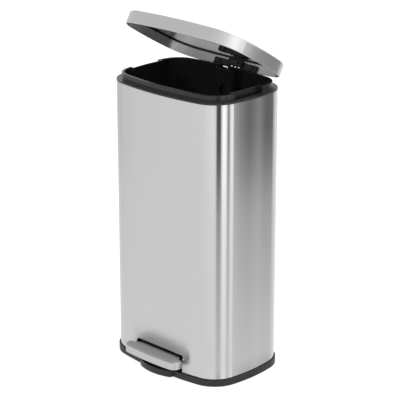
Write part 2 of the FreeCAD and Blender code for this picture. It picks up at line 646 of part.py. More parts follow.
def lid_bracket():
    low = HINGE_Z + BRACKET_CLEAR
    tip = crank_tip(-CRANK_LAG)
    web = [(HINGE_Y - HUB_R, HINGE_Z), (HINGE_Y, HINGE_Z), (HINGE_Y, low),
           (HINGE_Y - BRACKET_T, low + WEB_UP), (BRACKET_FACE - WEB_OUT, low + WEB_UP)]
    parts = [bracket_plate(), bracket_block()]
    for side in (1, -1):
        parts += crank_arm(side)
        parts.append(plate_yz(web, *span(side, ARM_IN, ARM_IN + ARM_T)))
        x0, x1 = span(side, LUG_IN, LUG_END)
        parts.append(rod(HUB_R, (x0, HINGE_Y, HINGE_Z), (x1, HINGE_Y, HINGE_Z)))
        parts.append(plate_yz(web, x0, x1))
        x = side * BRACKET_SCREW_X
        parts.append(rod(BRACKET_PAD_R, (x, PAD_FACE, BRACKET_MID), (x, SCREW_SEAT, BRACKET_MID)))
    body = join(parts)
    body = body.cut(cross_rod(PIN_R + FIT, HINGE_Y, HINGE_Z, BRACKET_HALF))
    body = body.cut(cross_rod(PIN_R, *tip, BRACKET_HALF))
    for side in (1, -1):
        x = side * BRACKET_SCREW_X
        body = body.cut(rod(BRACKET_SCREW_R, (x, PAD_FACE, BRACKET_MID), (x, SCREW_END, BRACKET_MID)))
    return body


def bracket_screws():
    out = []
    for side in (1, -1):
        x = side * BRACKET_SCREW_X
        head = rod(BRACKET_HEAD_R, (x, PAD_FACE - BRACKET_HEAD_T, BRACKET_MID), (x, PAD_FACE, BRACKET_MID))
        shank = rod(BRACKET_SCREW_R, (x, PAD_FACE, BRACKET_MID), (x, SCREW_END, BRACKET_MID))
        out.append(head.fuse(shank).removeSplitter())
    return Part.makeCompound(out)


nodes["lid_skirt"] = as_opened(lid_skirt())
nodes["lid_top"] = as_opened(lid_top())
nodes["lid_seal"] = as_opened(lid_seal())
nodes["lid_liner"] = as_opened(lid_liner())
nodes["lid_bracket"] = as_opened(lid_bracket())
nodes["bracket_screws"] = as_opened(bracket_screws())
nodes["crank_pin"] = as_opened(cross_rod(PIN_R, *crank_tip(-CRANK_LAG), ARM_IN + ARM_T + CRANK_PIN_PAST))


# ---------------------------------------------------------------- hinge on the frame
def hinge_blocks():
    low = CASE_TOP + LEDGE_T
    back = BACK - HINGE_EDGE
    web = [(HINGE_Y - HINGE_WEB, low), (back, low), (back, HINGE_Z - HINGE_WEB_TOP),
           (HINGE_Y, HINGE_Z), (HINGE_Y - HUB_R, HINGE_Z)]
    out = []
    for side in (1, -1):
        x0, x1 = span(side, KNUCKLE_IN, KNUCKLE_IN + KNUCKLE_T)
        foot = box(*span(side, KNUCKLE_IN, LUG_END), HINGE_Y - HINGE_FOOT, back, low, low + HINGE_FOOT_T)
        knuckle = rod(HUB_R, (x0, HINGE_Y, HINGE_Z), (x1, HINGE_Y, HINGE_Z))
        block = join([foot, knuckle, plate_yz(web, x0, x1)])
        out.append(block.cut(cross_rod(PIN_R, HINGE_Y, HINGE_Z, CASE_W / 4)))
    return Part.makeCompound(out)


def hinge_screws():
    low = CASE_TOP + LEDGE_T + HINGE_FOOT_T
    y = HINGE_Y - HINGE_SCREW_IN
    out = []
    for x in (LUG_IN + HINGE_SCREW_R, -LUG_IN - HINGE_SCREW_R):
        out.append(rod(HINGE_SCREW_R, (x, y, low), (x, y, low + HINGE_SCREW_T)))
    return Part.makeCompound(out)


nodes["hinge_blocks"] = hinge_blocks()
nodes["hinge_pin"] = cross_rod(PIN_R, HINGE_Y, HINGE_Z, LUG_END + HINGE_SIDE_GAP)
nodes["hinge_screws"] = hinge_screws()


# ---------------------------------------------------------------- push rod and damper
def rod_channel():
    half, t, top = CHANNEL_HALF, CHANNEL_T, CASE_TOP
    outer = box(-half, half, CHANNEL_Y, CHANNEL_BACK, PLATE_TOP, top)
    inner = box(t - half, half - t, CHANNEL_Y + t, BACK, PLATE_TOP, top)
    door = box(-half, half, 0, CHANNEL_Y + t, PLATE_TOP, CHANNEL_OPEN)
    skirt_room = box(-half, half, BACK - LIP_IN - CHANNEL_ROOM, BACK, top - SKIRT_H - CHANNEL_GAP, top)
    flange_back = BACK - RING_IN - FLANGE_W - CHANNEL_GAP
    flange_room = box(-half, half, flange_back, BACK, PLATE_TOP, PLATE_TOP + FLANGE_T + SKIRT_GAP)
    return outer.cut(inner).cut(door).cut(skirt_room).cut(flange_room)


def rod_guide(low, right):
    block = box(-GUIDE_HALF, right, CHANNEL_Y + CHANNEL_T, ROD_Y + GUIDE_PAST, low, low + GUIDE_T)
    return block.cut(rod(ROD_R + FIT, (0, ROD_Y, low), (0, ROD_Y, low + GUIDE_T)))


def rod_guides():
    return Part.makeCompound([rod_guide(GUIDE_LOW, DAMPER_X + DAMPER_R), rod_guide(GUIDE_HIGH, GUIDE_HALF)])


def guide_screws():
    out = []
    for low in (GUIDE_LOW, GUIDE_HIGH):
        z = low + GUIDE_T / 2
        out.append(rod(GUIDE_SCREW_R, (0, CHANNEL_Y - GUIDE_SCREW_T, z), (0, CHANNEL_Y, z)))
    return Part.makeCompound(out)


def rod_yoke():
    block = box(-YOKE_T / 2, YOKE_T / 2, ROD_Y - YOKE_HALF, ROD_Y + YOKE_HALF, YOKE_LOW, YOKE_Z + YOKE_ABOVE)
    neck = rod(YOKE_NECK_R, (0, ROD_Y, ROD_HIGH), (0, ROD_Y, YOKE_LOW + JOIN))
    neck = neck.common(box(-YOKE_T / 2, YOKE_T / 2, 0, BACK, ROD_HIGH, YOKE_Z))
    gap = PIN_R + YOKE_PLAY
    swing = CRANK * (1 - math.cos(math.radians(CRANK_LAG)))
    front, back = HINGE_Y - CRANK - YOKE_SPARE, HINGE_Y - CRANK + swing + YOKE_SPARE
    half = YOKE_T
    slot = join([box(-half, half, front, back, YOKE_Z - gap, YOKE_Z + gap),
                 cross_rod(gap, front, YOKE_Z, half), cross_rod(gap, back, YOKE_Z, half)])
    body = join([block, neck]).cut(slot)
    return body.cut(rod(SPIGOT_R, (0, ROD_Y, ROD_HIGH), (0, ROD_Y, ROD_HIGH + SPIGOT)))


def push_rod():
    shaft = rod(ROD_R, (0, ROD_Y, ROD_LOW + ROLL_BORE), (0, ROD_Y, ROD_HIGH))
    tip = rod(SPIGOT_R, (0, ROD_Y, ROD_HIGH), (0, ROD_Y, ROD_HIGH + SPIGOT))
    return shaft.fuse(tip).removeSplitter()


def rod_foot():
    roll = cross_rod(FOOT_ROLL_R, ROD_Y, ROD_LOW, ROLL_HALF)
    neck = rod(FOOT_ROLL_R, (0, ROD_Y, ROD_LOW), (0, ROD_Y, ROD_LOW + ROLL_NECK))
    bore = rod(ROD_R, (0, ROD_Y, ROD_LOW + ROLL_BORE), (0, ROD_Y, ROD_LOW + ROLL_NECK))
    return roll.fuse(neck).removeSplitter().cut(bore)


def damper_cylinder():
    high = DAMPER_LOW + DAMPER_LEN
    body = rod(DAMPER_R, (DAMPER_X, ROD_Y, DAMPER_LOW), (DAMPER_X, ROD_Y, high))
    start = DAMPER_LOW + DAMPER_END
    bore = rod(DAMPER_BORE, (DAMPER_X, ROD_Y, start), (DAMPER_X, ROD_Y, high - 2 * DAMPER_END))
    mouth = rod(DAMPER_ROD_R + FIT, (DAMPER_X, ROD_Y, start), (DAMPER_X, ROD_Y, high))
    return body.cut(bore).cut(mouth)


def damper_rod():
    low = DAMPER_LOW + PISTON_UP
    piston = rod(DAMPER_BORE - FIT, (DAMPER_X, ROD_Y, low), (DAMPER_X, ROD_Y, low + PISTON_T))
    stem = rod(DAMPER_ROD_R, (DAMPER_X, ROD_Y, low), (DAMPER_X, ROD_Y, CLIP_LOW + CLIP_T))
    return piston.fuse(stem).removeSplitter()


def damper_clip():
    high = CLIP_LOW + CLIP_T
    body = box(-CLIP_HALF, DAMPER_X + CLIP_HALF, ROD_Y - CLIP_HALF, ROD_Y + CLIP_HALF, CLIP_LOW, high)
    body = body.cut(rod(ROD_R, (0, ROD_Y, CLIP_LOW), (0, ROD_Y, high)))
    return body.cut(rod(DAMPER_ROD_R, (DAMPER_X, ROD_Y, CLIP_LOW), (DAMPER_X, ROD_Y, high)))


nodes["rod_channel"] = rod_channel()
nodes["rod_guides"] = rod_guides()
nodes["guide_screws"] = guide_screws()
nodes["rod_yoke"] = rod_yoke()
nodes["push_rod"] = push_rod()
nodes["rod_foot"] = rod_foot()
nodes["damper_cylinder"] = damper_cylinder()
nodes["damper_rod"] = damper_rod()
nodes["damper_clip"] = damper_clip()


# ---------------------------------------------------------------- pedal
def pedal_block(inset, low, high, rear):
    """Plan of the pedal, moved in by inset (by rear at its back edge), as a solid."""
    half, front = PEDAL_HALF - inset, FRONT - PEDAL_REACH + inset
    bow = FRONT_BOW + PEDAL_REACH - inset
    radius = PEDAL_R - inset
    edge_y = front + bow - math.sqrt(bow * bow - half * half)
    shoulder = SHOULDER_Y - rear
    left, right = V(-half, edge_y, low), V(half, edge_y, low)
    nose = Part.Arc(left, V(0, front, low), right).toShape()
    n = NECK_HALF - inset
    path = [right, V(half, shoulder, low), V(n, shoulder, low), V(n, NECK_Y, low),
            V(-n, NECK_Y, low), V(-n, shoulder, low), V(-half, shoulder, low), left]
    rest = Part.makePolygon(path)
    solid = Part.Face(Part.Wire([nose] + rest.Edges)).extrude(V(0, 0, high - low))
    solid = round_edges(solid, radius, lambda e: upright(e) and e.BoundBox.YMax < edge_y + 0.1)
    return round_edges(solid, SHOULDER_R - inset / 4,
                       lambda e: upright(e) and abs(e.BoundBox.XMax) > half - 0.1
                       and abs(e.BoundBox.YMax - shoulder) < 0.1)


def pedal_cap():
    under = PEDAL_TOP - PEDAL_SHEET
    skin = pedal_block(0, PEDAL_LOW, PEDAL_TOP, 0)
    skin = round_edges(skin, PEDAL_EDGE, at_height(PEDAL_TOP))
    hollow = pedal_block(PEDAL_SHEET, PEDAL_LOW, under, PEDAL_SHEET)
    inner_neck = NECK_HALF - PEDAL_SHEET
    behind = box(-inner_neck, inner_neck, NECK_Y - PEDAL_SHEET, NECK_Y, PEDAL_LOW, under)
    pad = pedal_block(PAD_IN, under, PEDAL_TOP + PAD_RISE, 0)
    pad = round_edges(pad, PAD_ROUND, at_height(PEDAL_TOP + PAD_RISE))
    body = join([skin, pad]).cut(hollow).cut(behind)
    return body.cut(box(-PEDAL_HALF, PEDAL_HALF, SHOULDER_Y + PEDAL_SHEET, NECK_Y, PEDAL_LOW, NECK_LOW))


def pedal_core():
    body = pedal_block(PEDAL_SHEET, LEVER_TOP, PEDAL_TOP - PEDAL_SHEET, PEDAL_SHEET)
    room = box(-PEDAL_HALF, PEDAL_HALF, FRONT - 2 * PEDAL_REACH, NECK_Y - PEDAL_SHEET, LEVER_TOP, PEDAL_TOP)
    return body.common(room)


def rivet_places():
    y = FRONT - RIVET_OUT
    return [(-RIVET_X, y), (0, y - RIVET_BOW), (RIVET_X, y)]


def pedal_lever():
    front, back = FRONT - PEDAL_REACH + LEVER_PLATE_IN, NECK_Y - LEVER_LAP
    narrow = PIVOT_Y + LEVER_BAR
    nose = box(-LEVER_PLATE_HALF, LEVER_PLATE_HALF, front, back, LEVER_LOW, LEVER_TOP)
    bar = box(-LEVER_HALF, LEVER_HALF, back - JOIN, narrow, LEVER_LOW, LEVER_TOP)
    tail = box(-TAIL_HALF, TAIL_HALF, narrow - JOIN, TAIL_END, LEVER_LOW, LEVER_TOP)
    parts = [nose, bar, tail]
    for side in (1, -1):
        x0, x1 = span(side, LEVER_HALF - EAR_T, LEVER_HALF)
        parts.append(box(x0, x1, PIVOT_Y - EAR_R, PIVOT_Y + EAR_R, PIVOT_Z, LEVER_TOP))
        parts.append(rod(EAR_R, (x0, PIVOT_Y, PIVOT_Z), (x1, PIVOT_Y, PIVOT_Z)))
    body = join(parts).cut(cross_rod(AXLE_R, PIVOT_Y, PIVOT_Z, AXLE_HALF))
    for x, y in rivet_places():
        body = body.cut(rod(RIVET_R, (x, y, LEVER_LOW), (x, y, LEVER_TOP)))
    return body


def pedal_rivets():
    out = []
    for x, y in rivet_places():
        shank = rod(RIVET_R, (x, y, LEVER_LOW), (x, y, LEVER_TOP))
        head = rod(RIVET_R + RIVET_HEAD, (x, y, LEVER_LOW - RIVET_HEAD_T), (x, y, LEVER_LOW))
        out.append(shank.fuse(head).removeSplitter())
    return Part.makeCompound(out)


def bearing_stands():
    out = []
    for side in (1, -1):
        x0, x1 = span(side, STAND_IN, STAND_IN + STAND_W)
        half = STAND_D / 2
        block = box(x0, x1, PIVOT_Y - half, PIVOT_Y + half, PLATE_TOP, PIVOT_Z + STAND_CAP)
        cap = rod(half - STAND_EDGE, (x0, PIVOT_Y, PIVOT_Z), (x1, PIVOT_Y, PIVOT_Z))
        out.append(join([block, cap]).cut(cross_rod(AXLE_R + BUSH_WALL, PIVOT_Y, PIVOT_Z, CASE_W / 4)))
    return Part.makeCompound(out)


def axle_bushes():
    out = []
    for side in (1, -1):
        x0, x1 = span(side, STAND_IN, STAND_IN + STAND_W)
        sleeve = rod(AXLE_R + BUSH_WALL, (x0, PIVOT_Y, PIVOT_Z), (x1, PIVOT_Y, PIVOT_Z))
        f0, f1 = span(side, STAND_IN - BUSH_FLANGE, STAND_IN)
        flange = rod(AXLE_R + BUSH_WALL + BUSH_FLANGE, (f0, PIVOT_Y, PIVOT_Z), (f1, PIVOT_Y, PIVOT_Z))
        bush = sleeve.fuse(flange).removeSplitter()
        out.append(bush.cut(cross_rod(AXLE_R + FIT, PIVOT_Y, PIVOT_Z, CASE_W / 4)))
    return Part.makeCompound(out)


def axle_clips():
    out = []
    for side in (1, -1):
        near = STAND_IN + STAND_W + CLIP_GAP
        x0, x1 = span(side, near, near + CLIP_W)
        disc = rod(AXLE_R + CLIP_RIM, (x0, PIVOT_Y, PIVOT_Z), (x1, PIVOT_Y, PIVOT_Z))
        out.append(disc.cut(cross_rod(AXLE_R, PIVOT_Y, PIVOT_Z, CASE_W / 4)))
    return Part.makeCompound(out)


def stop_pad():
    """Rubber post that the lever's tail lands on when the lid is shut."""
    arm = ROD_Y - PIVOT_Y
    travel = 2 * CRANK * math.sin(math.radians(CRANK_LAG))
    ratio = math.asin(travel / 2 / arm) / math.radians(CRANK_LAG)
    drop = math.radians(LID_REST) * ratio
    y = ROD_Y - STOP_IN
    reach = y + STOP_R - PIVOT_Y
    high = PIVOT_Z + (LEVER_LOW - PIVOT_Z) * math.cos(drop) - reach * math.sin(drop) - STOP_GAP
    return rod(STOP_R, (0, y, PLATE_TOP), (0, y, high))


nodes["pedal_cap"] = pedal_cap()
nodes["pedal_core"] = pedal_core()
nodes["pedal_lever"] = pedal_lever()
nodes["pedal_rivets"] = pedal_rivets()
nodes["pedal_axle"] = cross_rod(AXLE_R, PIVOT_Y, PIVOT_Z, AXLE_HALF)
nodes["axle_clips"] = axle_clips()
nodes["bearing_stands"] = bearing_stands()
nodes["axle_bushes"] = axle_bushes()
nodes["stop_pad"] = stop_pad()


# ---------------------------------------------------------------- export
os.makedirs("parts", exist_ok=True)
for name, shape in nodes.items():
    shape.exportStep("parts/" + name + ".step")
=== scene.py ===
# %% [markdown]
# # A steel pedal bin, dressed
# A pedal bin is a bowed box of brushed steel with a plastic base, a plastic frame round its mouth,
# a lift-out bucket and a lid on a hinge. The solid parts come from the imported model.
# Here they get their finishes, their small hardware, a floor, light and a camera.

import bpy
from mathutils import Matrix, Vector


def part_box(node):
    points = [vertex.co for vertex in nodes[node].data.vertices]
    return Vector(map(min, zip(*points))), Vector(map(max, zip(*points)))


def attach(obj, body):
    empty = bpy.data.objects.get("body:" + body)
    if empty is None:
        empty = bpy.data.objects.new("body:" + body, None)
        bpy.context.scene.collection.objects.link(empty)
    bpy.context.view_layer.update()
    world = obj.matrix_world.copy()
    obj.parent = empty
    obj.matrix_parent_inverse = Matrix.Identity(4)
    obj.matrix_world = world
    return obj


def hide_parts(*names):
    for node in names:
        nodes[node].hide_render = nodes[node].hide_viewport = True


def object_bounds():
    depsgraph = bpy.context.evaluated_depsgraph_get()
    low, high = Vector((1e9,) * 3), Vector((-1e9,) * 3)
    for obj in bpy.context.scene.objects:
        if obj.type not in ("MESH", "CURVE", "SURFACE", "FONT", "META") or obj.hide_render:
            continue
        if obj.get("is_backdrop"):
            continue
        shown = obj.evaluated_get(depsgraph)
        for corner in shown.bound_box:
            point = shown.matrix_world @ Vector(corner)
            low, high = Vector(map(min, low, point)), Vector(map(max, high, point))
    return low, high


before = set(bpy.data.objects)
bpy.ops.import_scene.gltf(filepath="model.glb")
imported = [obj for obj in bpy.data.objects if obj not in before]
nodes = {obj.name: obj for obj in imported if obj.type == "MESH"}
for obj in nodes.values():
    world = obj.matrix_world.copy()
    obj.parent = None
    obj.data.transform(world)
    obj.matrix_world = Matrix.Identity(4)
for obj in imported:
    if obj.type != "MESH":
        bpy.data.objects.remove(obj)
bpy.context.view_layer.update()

# %% Names used all through
import math

import bmesh
import bpy
from mathutils import Euler, Matrix, Vector

scene = bpy.context.scene
scene.view_settings.view_transform = "Standard"

# %% [markdown]
# ## The camera
# The bin is seen from its front right corner, from a little above. A long lens from far away keeps
# the upright edges nearly parallel, as a product view has them.

# %% Camera
def add_camera(place, turn, dip, lens):
    """A camera at place, turned left by turn and dipped by dip degrees."""
    bpy.ops.object.camera_add(location=place)
    camera = bpy.context.object
    camera.name = "studio_camera"
    camera.rotation_euler = Euler((math.radians(90 - dip), 0, math.radians(turn)))
    camera.data.lens = lens
    camera.data.sensor_width = 36
    camera.data.clip_end = 60
    scene.camera = camera
    return camera


camera = add_camera(place=(2.3749, -2.4183, 1.5431), turn=44.358, dip=19.328, lens=153.47)
print("camera lens:", round(camera.data.lens, 1), "mm")

# %% [markdown]
# ## Small helpers for node trees
# Every finish below is a tree of shader nodes. These helpers add a node, name it, set its sockets
# and join two sockets, so that each finish reads as a short recipe.

# %% Node helpers
def add_node(tree, kind, x, y, label="", **settings):
    node = tree.nodes.new(kind)
    node.location = (x, y)
    node.label = label
    for name, value in settings.items():
        setattr(node, name, value)
    return node


def fill(node, **values):
    """Sets sockets by name; an underscore in the name stands for a space."""
    for name, value in values.items():
        node.inputs[name.replace("_", " ")].default_value = value
    return node


def join(tree, start, end):
    tree.links.new(start, end)


def stops(ramp_node, pairs):
    """Gives a colour ramp its stops from (position, grey) pairs."""
    ramp = ramp_node.color_ramp
    while len(ramp.elements) > 1:
        ramp.elements.remove(ramp.elements[-1])
    ramp.elements[0].position = pairs[0][0]
    ramp.elements[0].color = (pairs[0][1],) * 3 + (1,)
    for place, grey in pairs[1:]:
        ramp.elements.new(place).color = (grey, grey, grey, 1)
    return ramp_node


# %% [markdown]
# ## The studio
# Bare steel shows what stands round it more than it shows its own colour. White boards and dark
# flags are set round such a bin until its corners have crisp bright and dark bands.
# Here the sky does that job: rays that leave the steel read a band of greys by their compass
# direction, while the camera sees plain white.

# %% Boards and flags
BOARDS = [  # compass direction from the front towards the right, degrees, and how bright it is
    (-180, 1.05), (-150, 0.95), (-110, 0.8), (-75, 0.8), (-55, 0.96), (0, 1.03), (34, 1.18),
    (45, 1.12), (51, 0.12), (63, 0.06), (68, 0.9), (74, 1.75), (86, 1.6), (93, 0.4), (99, 0.42),
    (105, 1.35), (115, 1.45), (121, 0.38), (132, 0.2), (142, 0.38), (149, 0.18), (159, 0.24),
    (167, 0.7), (178, 1.0),
]
HIGH_BOARDS = [  # the same for the boards that hang higher up
    (-180, 0.8), (-137, 0.85), (-90, 0.78), (-49, 0.72), (-20, 0.78), (20, 0.9), (45, 1.0),
    (60, 1.3), (75, 1.6), (118, 1.6), (140, 1.45), (160, 1.2), (178, 0.85),
]
BOARD_STRENGTH = 2.0
BOARD_TOP = (-6, 14)  # between these elevations, in degrees, the low boards give way to the high ones
MATT_STRENGTH = 0.62  # how bright the sky is to matt surfaces


def board_ramp(tree, y, label, boards):
    """A colour ramp that reads a compass share of 0 to 1."""
    ramp = add_node(tree, "ShaderNodeValToRGB", -340, y, label)
    return stops(ramp, [((angle + 180) / 360, grey / BOARD_STRENGTH) for angle, grey in boards])


# %% Sky
def build_sky():
    world = bpy.data.worlds.new("studio_sky")
    scene.world = world
    world.use_nodes = True
    tree = world.node_tree
    tree.nodes.clear()
    direction = add_node(tree, "ShaderNodeTexCoord", -1300, 0)
    parts = add_node(tree, "ShaderNodeSeparateXYZ", -1100, 0)
    to_front = add_node(tree, "ShaderNodeMath", -900, -80, operation="MULTIPLY")
    to_front.inputs[1].default_value = -1
    compass = add_node(tree, "ShaderNodeMath", -720, 0, "compass angle", operation="ARCTAN2")
    share = add_node(tree, "ShaderNodeMapRange", -540, 0)
    fill(share, From_Min=-math.pi, From_Max=math.pi)
    low_ramp = board_ramp(tree, 0, "low boards and flags", BOARDS)
    high_ramp = board_ramp(tree, 260, "high boards", HIGH_BOARDS)
    height = add_node(tree, "ShaderNodeMapRange", -540, 300, "how high the ray looks",
                      interpolation_type="SMOOTHSTEP")
    fade_from, fade_to = (math.sin(math.radians(angle)) for angle in BOARD_TOP)
    fill(height, From_Min=fade_from, From_Max=fade_to)
    both_boards = add_node(tree, "ShaderNodeMix", -180, 140, data_type="RGBA")
    boards = fill(add_node(tree, "ShaderNodeBackground", -40, 0, "for gloss"), Strength=BOARD_STRENGTH)
    ambient = fill(add_node(tree, "ShaderNodeBackground", -40, -160, "for matt"),
                   Color=(1, 1, 1, 1), Strength=MATT_STRENGTH)
    white = fill(add_node(tree, "ShaderNodeBackground", -40, -320, "for the camera"),
                 Color=(1, 1, 1, 1), Strength=1.0)
    rays = add_node(tree, "ShaderNodeLightPath", -40, 380)
    gloss_mix = add_node(tree, "ShaderNodeMixShader", 200, 0)
    camera_mix = add_node(tree, "ShaderNodeMixShader", 400, 0)
    out = add_node(tree, "ShaderNodeOutputWorld", 600, 0)
    join(tree, direction.outputs["Generated"], parts.inputs[0])
    join(tree, parts.outputs["Y"], to_front.inputs[0])
    join(tree, parts.outputs["X"], compass.inputs[0])
    join(tree, to_front.outputs[0], compass.inputs[1])
    join(tree, compass.outputs[0], share.inputs["Value"])
    join(tree, share.outputs["Result"], low_ramp.inputs["Fac"])
    join(tree, share.outputs["Result"], high_ramp.inputs["Fac"])
    join(tree, parts.outputs["Z"], height.inputs["Value"])
    join(tree, height.outputs["Result"], both_boards.inputs["Factor"])
    join(tree, low_ramp.outputs["Color"], both_boards.inputs["A"])
    join(tree, high_ramp.outputs["Color"], both_boards.inputs["B"])
    join(tree, both_boards.outputs["Result"], boards.inputs["Color"])
    join(tree, rays.outputs["Is Glossy Ray"], gloss_mix.inputs["Fac"])
    join(tree, ambient.outputs[0], gloss_mix.inputs[1])
    join(tree, boards.outputs[0], gloss_mix.inputs[2])
    join(tree, rays.outputs["Is Camera Ray"], camera_mix.inputs["Fac"])
    join(tree, gloss_mix.outputs[0], camera_mix.inputs[1])
    join(tree, white.outputs[0], camera_mix.inputs[2])
    join(tree, camera_mix.outputs[0], out.inputs["Surface"])


build_sky()
print("sky: low boards", len(BOARDS), "high boards", len(HIGH_BOARDS))

# %% [markdown]
# The floor is a wide white sheet. To the camera it glows a little, so that it melts into the white
# sky and still keeps the soft shadow under the bin. To the steel it is white close by, with a painted
# shadow just round the bin, and fades with distance, which is why a steel wall looks paler towards
# its foot.

# %% Floor
FLOOR_REACH = 1.9  # how far out the steel sees the floor
FLOOR_SHADOW_AND_FADE = [  # share of that reach, and how white the steel sees the floor there; the darker first stops are a painted shadow round the bin
    (0.0, 0.4), (0.09, 0.52), (0.13, 0.8), (0.2, 0.76), (0.4, 0.6), (0.62, 0.46), (0.82, 0.16), (1.0, 0.0),
]
FLOOR_RADIUS = 9
FLOOR_GLOW = 0.74   # light that the camera sees the floor give off
FLOOR_SHADE = 0.5   # how strongly it shows shadow to the camera
FLOOR_PAPER = 0.8   # its white for matt surfaces


def build_floor():
    bpy.ops.mesh.primitive_circle_add(vertices=96, radius=FLOOR_RADIUS, fill_type="TRIFAN")
    floor = bpy.context.object
    floor.name = "studio_floor"
    material = bpy.data.materials.new("white_paper_floor")
    material.use_nodes = True
    tree = material.node_tree
    tree.nodes.clear()
    spot = add_node(tree, "ShaderNodeTexCoord", -1100, 0)
    far = add_node(tree, "ShaderNodeVectorMath", -900, 0, "distance from the bin", operation="LENGTH")
    share = fill(add_node(tree, "ShaderNodeMapRange", -700, 0), From_Max=FLOOR_REACH)
    # the low stops near the middle paint the bin's shadow on the floor as the steel sees it
    ramp = stops(add_node(tree, "ShaderNodeValToRGB", -500, 0), FLOOR_SHADOW_AND_FADE)
    clear = add_node(tree, "ShaderNodeBsdfTransparent", -200, 100)
    lit = fill(add_node(tree, "ShaderNodeEmission", -200, 0), Color=(1, 1, 1, 1), Strength=1.0)
    seen_in_steel = add_node(tree, "ShaderNodeMixShader", 0, 60)
    paper = fill(add_node(tree, "ShaderNodeBsdfDiffuse", -200, -140), Color=(*[FLOOR_PAPER] * 3, 1))
    bounce = add_node(tree, "ShaderNodeMixShader", 200, 0)
    glow = fill(add_node(tree, "ShaderNodeEmission", -200, -260), Color=(1, 1, 1, 1), Strength=FLOOR_GLOW)
    shade = fill(add_node(tree, "ShaderNodeBsdfDiffuse", -200, -380), Color=(*[FLOOR_SHADE] * 3, 1))
    seen_plain = add_node(tree, "ShaderNodeAddShader", 0, -300)
    rays = add_node(tree, "ShaderNodeLightPath", 0, 420)
    final = add_node(tree, "ShaderNodeMixShader", 400, 0)
    out = add_node(tree, "ShaderNodeOutputMaterial", 600, 0)
    join(tree, spot.outputs["Object"], far.inputs[0])
    join(tree, far.outputs["Value"], share.inputs["Value"])
    join(tree, share.outputs["Result"], ramp.inputs["Fac"])
    join(tree, ramp.outputs["Color"], seen_in_steel.inputs["Fac"])
    join(tree, clear.outputs[0], seen_in_steel.inputs[1])
    join(tree, lit.outputs[0], seen_in_steel.inputs[2])
    join(tree, rays.outputs["Is Glossy Ray"], bounce.inputs["Fac"])
    join(tree, paper.outputs[0], bounce.inputs[1])
    join(tree, seen_in_steel.outputs[0], bounce.inputs[2])
    join(tree, glow.outputs[0], seen_plain.inputs[0])
    join(tree, shade.outputs[0], seen_plain.inputs[1])
    join(tree, rays.outputs["Is Camera Ray"], final.inputs["Fac"])
    join(tree, bounce.outputs[0], final.inputs[1])
    join(tree, seen_plain.outputs[0], final.inputs[2])
    join(tree, final.outputs[0], out.inputs["Surface"])
    floor.data.materials.append(material)
    floor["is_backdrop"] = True
    return floor


floor = build_floor()
print("floor:", floor.dimensions[0], "m across")

# %% Lamps
def add_softbox(name, place, aim, size, power):
    """An area lamp at place that looks at aim; gloss shows the boards and not the lamp."""
    bpy.ops.object.light_add(type="AREA", location=place)
    lamp = bpy.context.object
    lamp.name = name
    lamp.data.shape = "RECTANGLE"
    lamp.data.size, lamp.data.size_y = size
    lamp.data.energy = power
    lamp.visible_glossy = False
    lamp.rotation_mode = "QUATERNION"
    lamp.rotation_quaternion = (Vector(aim) - Vector(place)).to_track_quat("-Z", "Y")
    return lamp


add_softbox("key_box", place=(-1.3, -2.2, 2.4), aim=(0, 0, 0.45), size=(1.6, 1.2), power=38)
add_softbox("fill_box", place=(2.6, -0.6, 1.7), aim=(0, 0, 0.4), size=(1.4, 1.4), power=14)
add_softbox("top_box", place=(0.2, 0.5, 2.8), aim=(0, 0, 0.6), size=(1.8, 1.4), power=22)

# %% [markdown]
# ## Shared effects
# Some effects are needed by more than one finish, so each is a node group with its own sockets:
# the fine grain of brushed steel, the faint pebble of moulded plastic, and softly rounded edges
# with a mask for a painted highlight. A group only puts out things that change over the surface.

# %% Group helper
NOISE_SPAN = 0.3, 0.7  # nearly all of a noise texture lies between these
NOISE_MIDDLE = 0.5


def new_group(name, inputs, outputs):
    """An empty shader node group: sockets are (name, kind, value) and (name, kind)."""
    group = bpy.data.node_groups.new(name, "ShaderNodeTree")
    for title, kind, value in inputs:
        socket = group.interface.new_socket(name=title, in_out="INPUT", socket_type=kind)
        if value is not None:
            socket.default_value = value
    for title, kind in outputs:
        group.interface.new_socket(name=title, in_out="OUTPUT", socket_type=kind)
    start = add_node(group, "NodeGroupInput", -1200, 0)
    end = add_node(group, "NodeGroupOutput", 900, 0)
    return group, start, end


# %% Brushed grain
BAND_SCALE = (110, 110, 1.2)
LINE_SHARE = 0.6  # how much of the grain is hair lines; the rest is broad bands


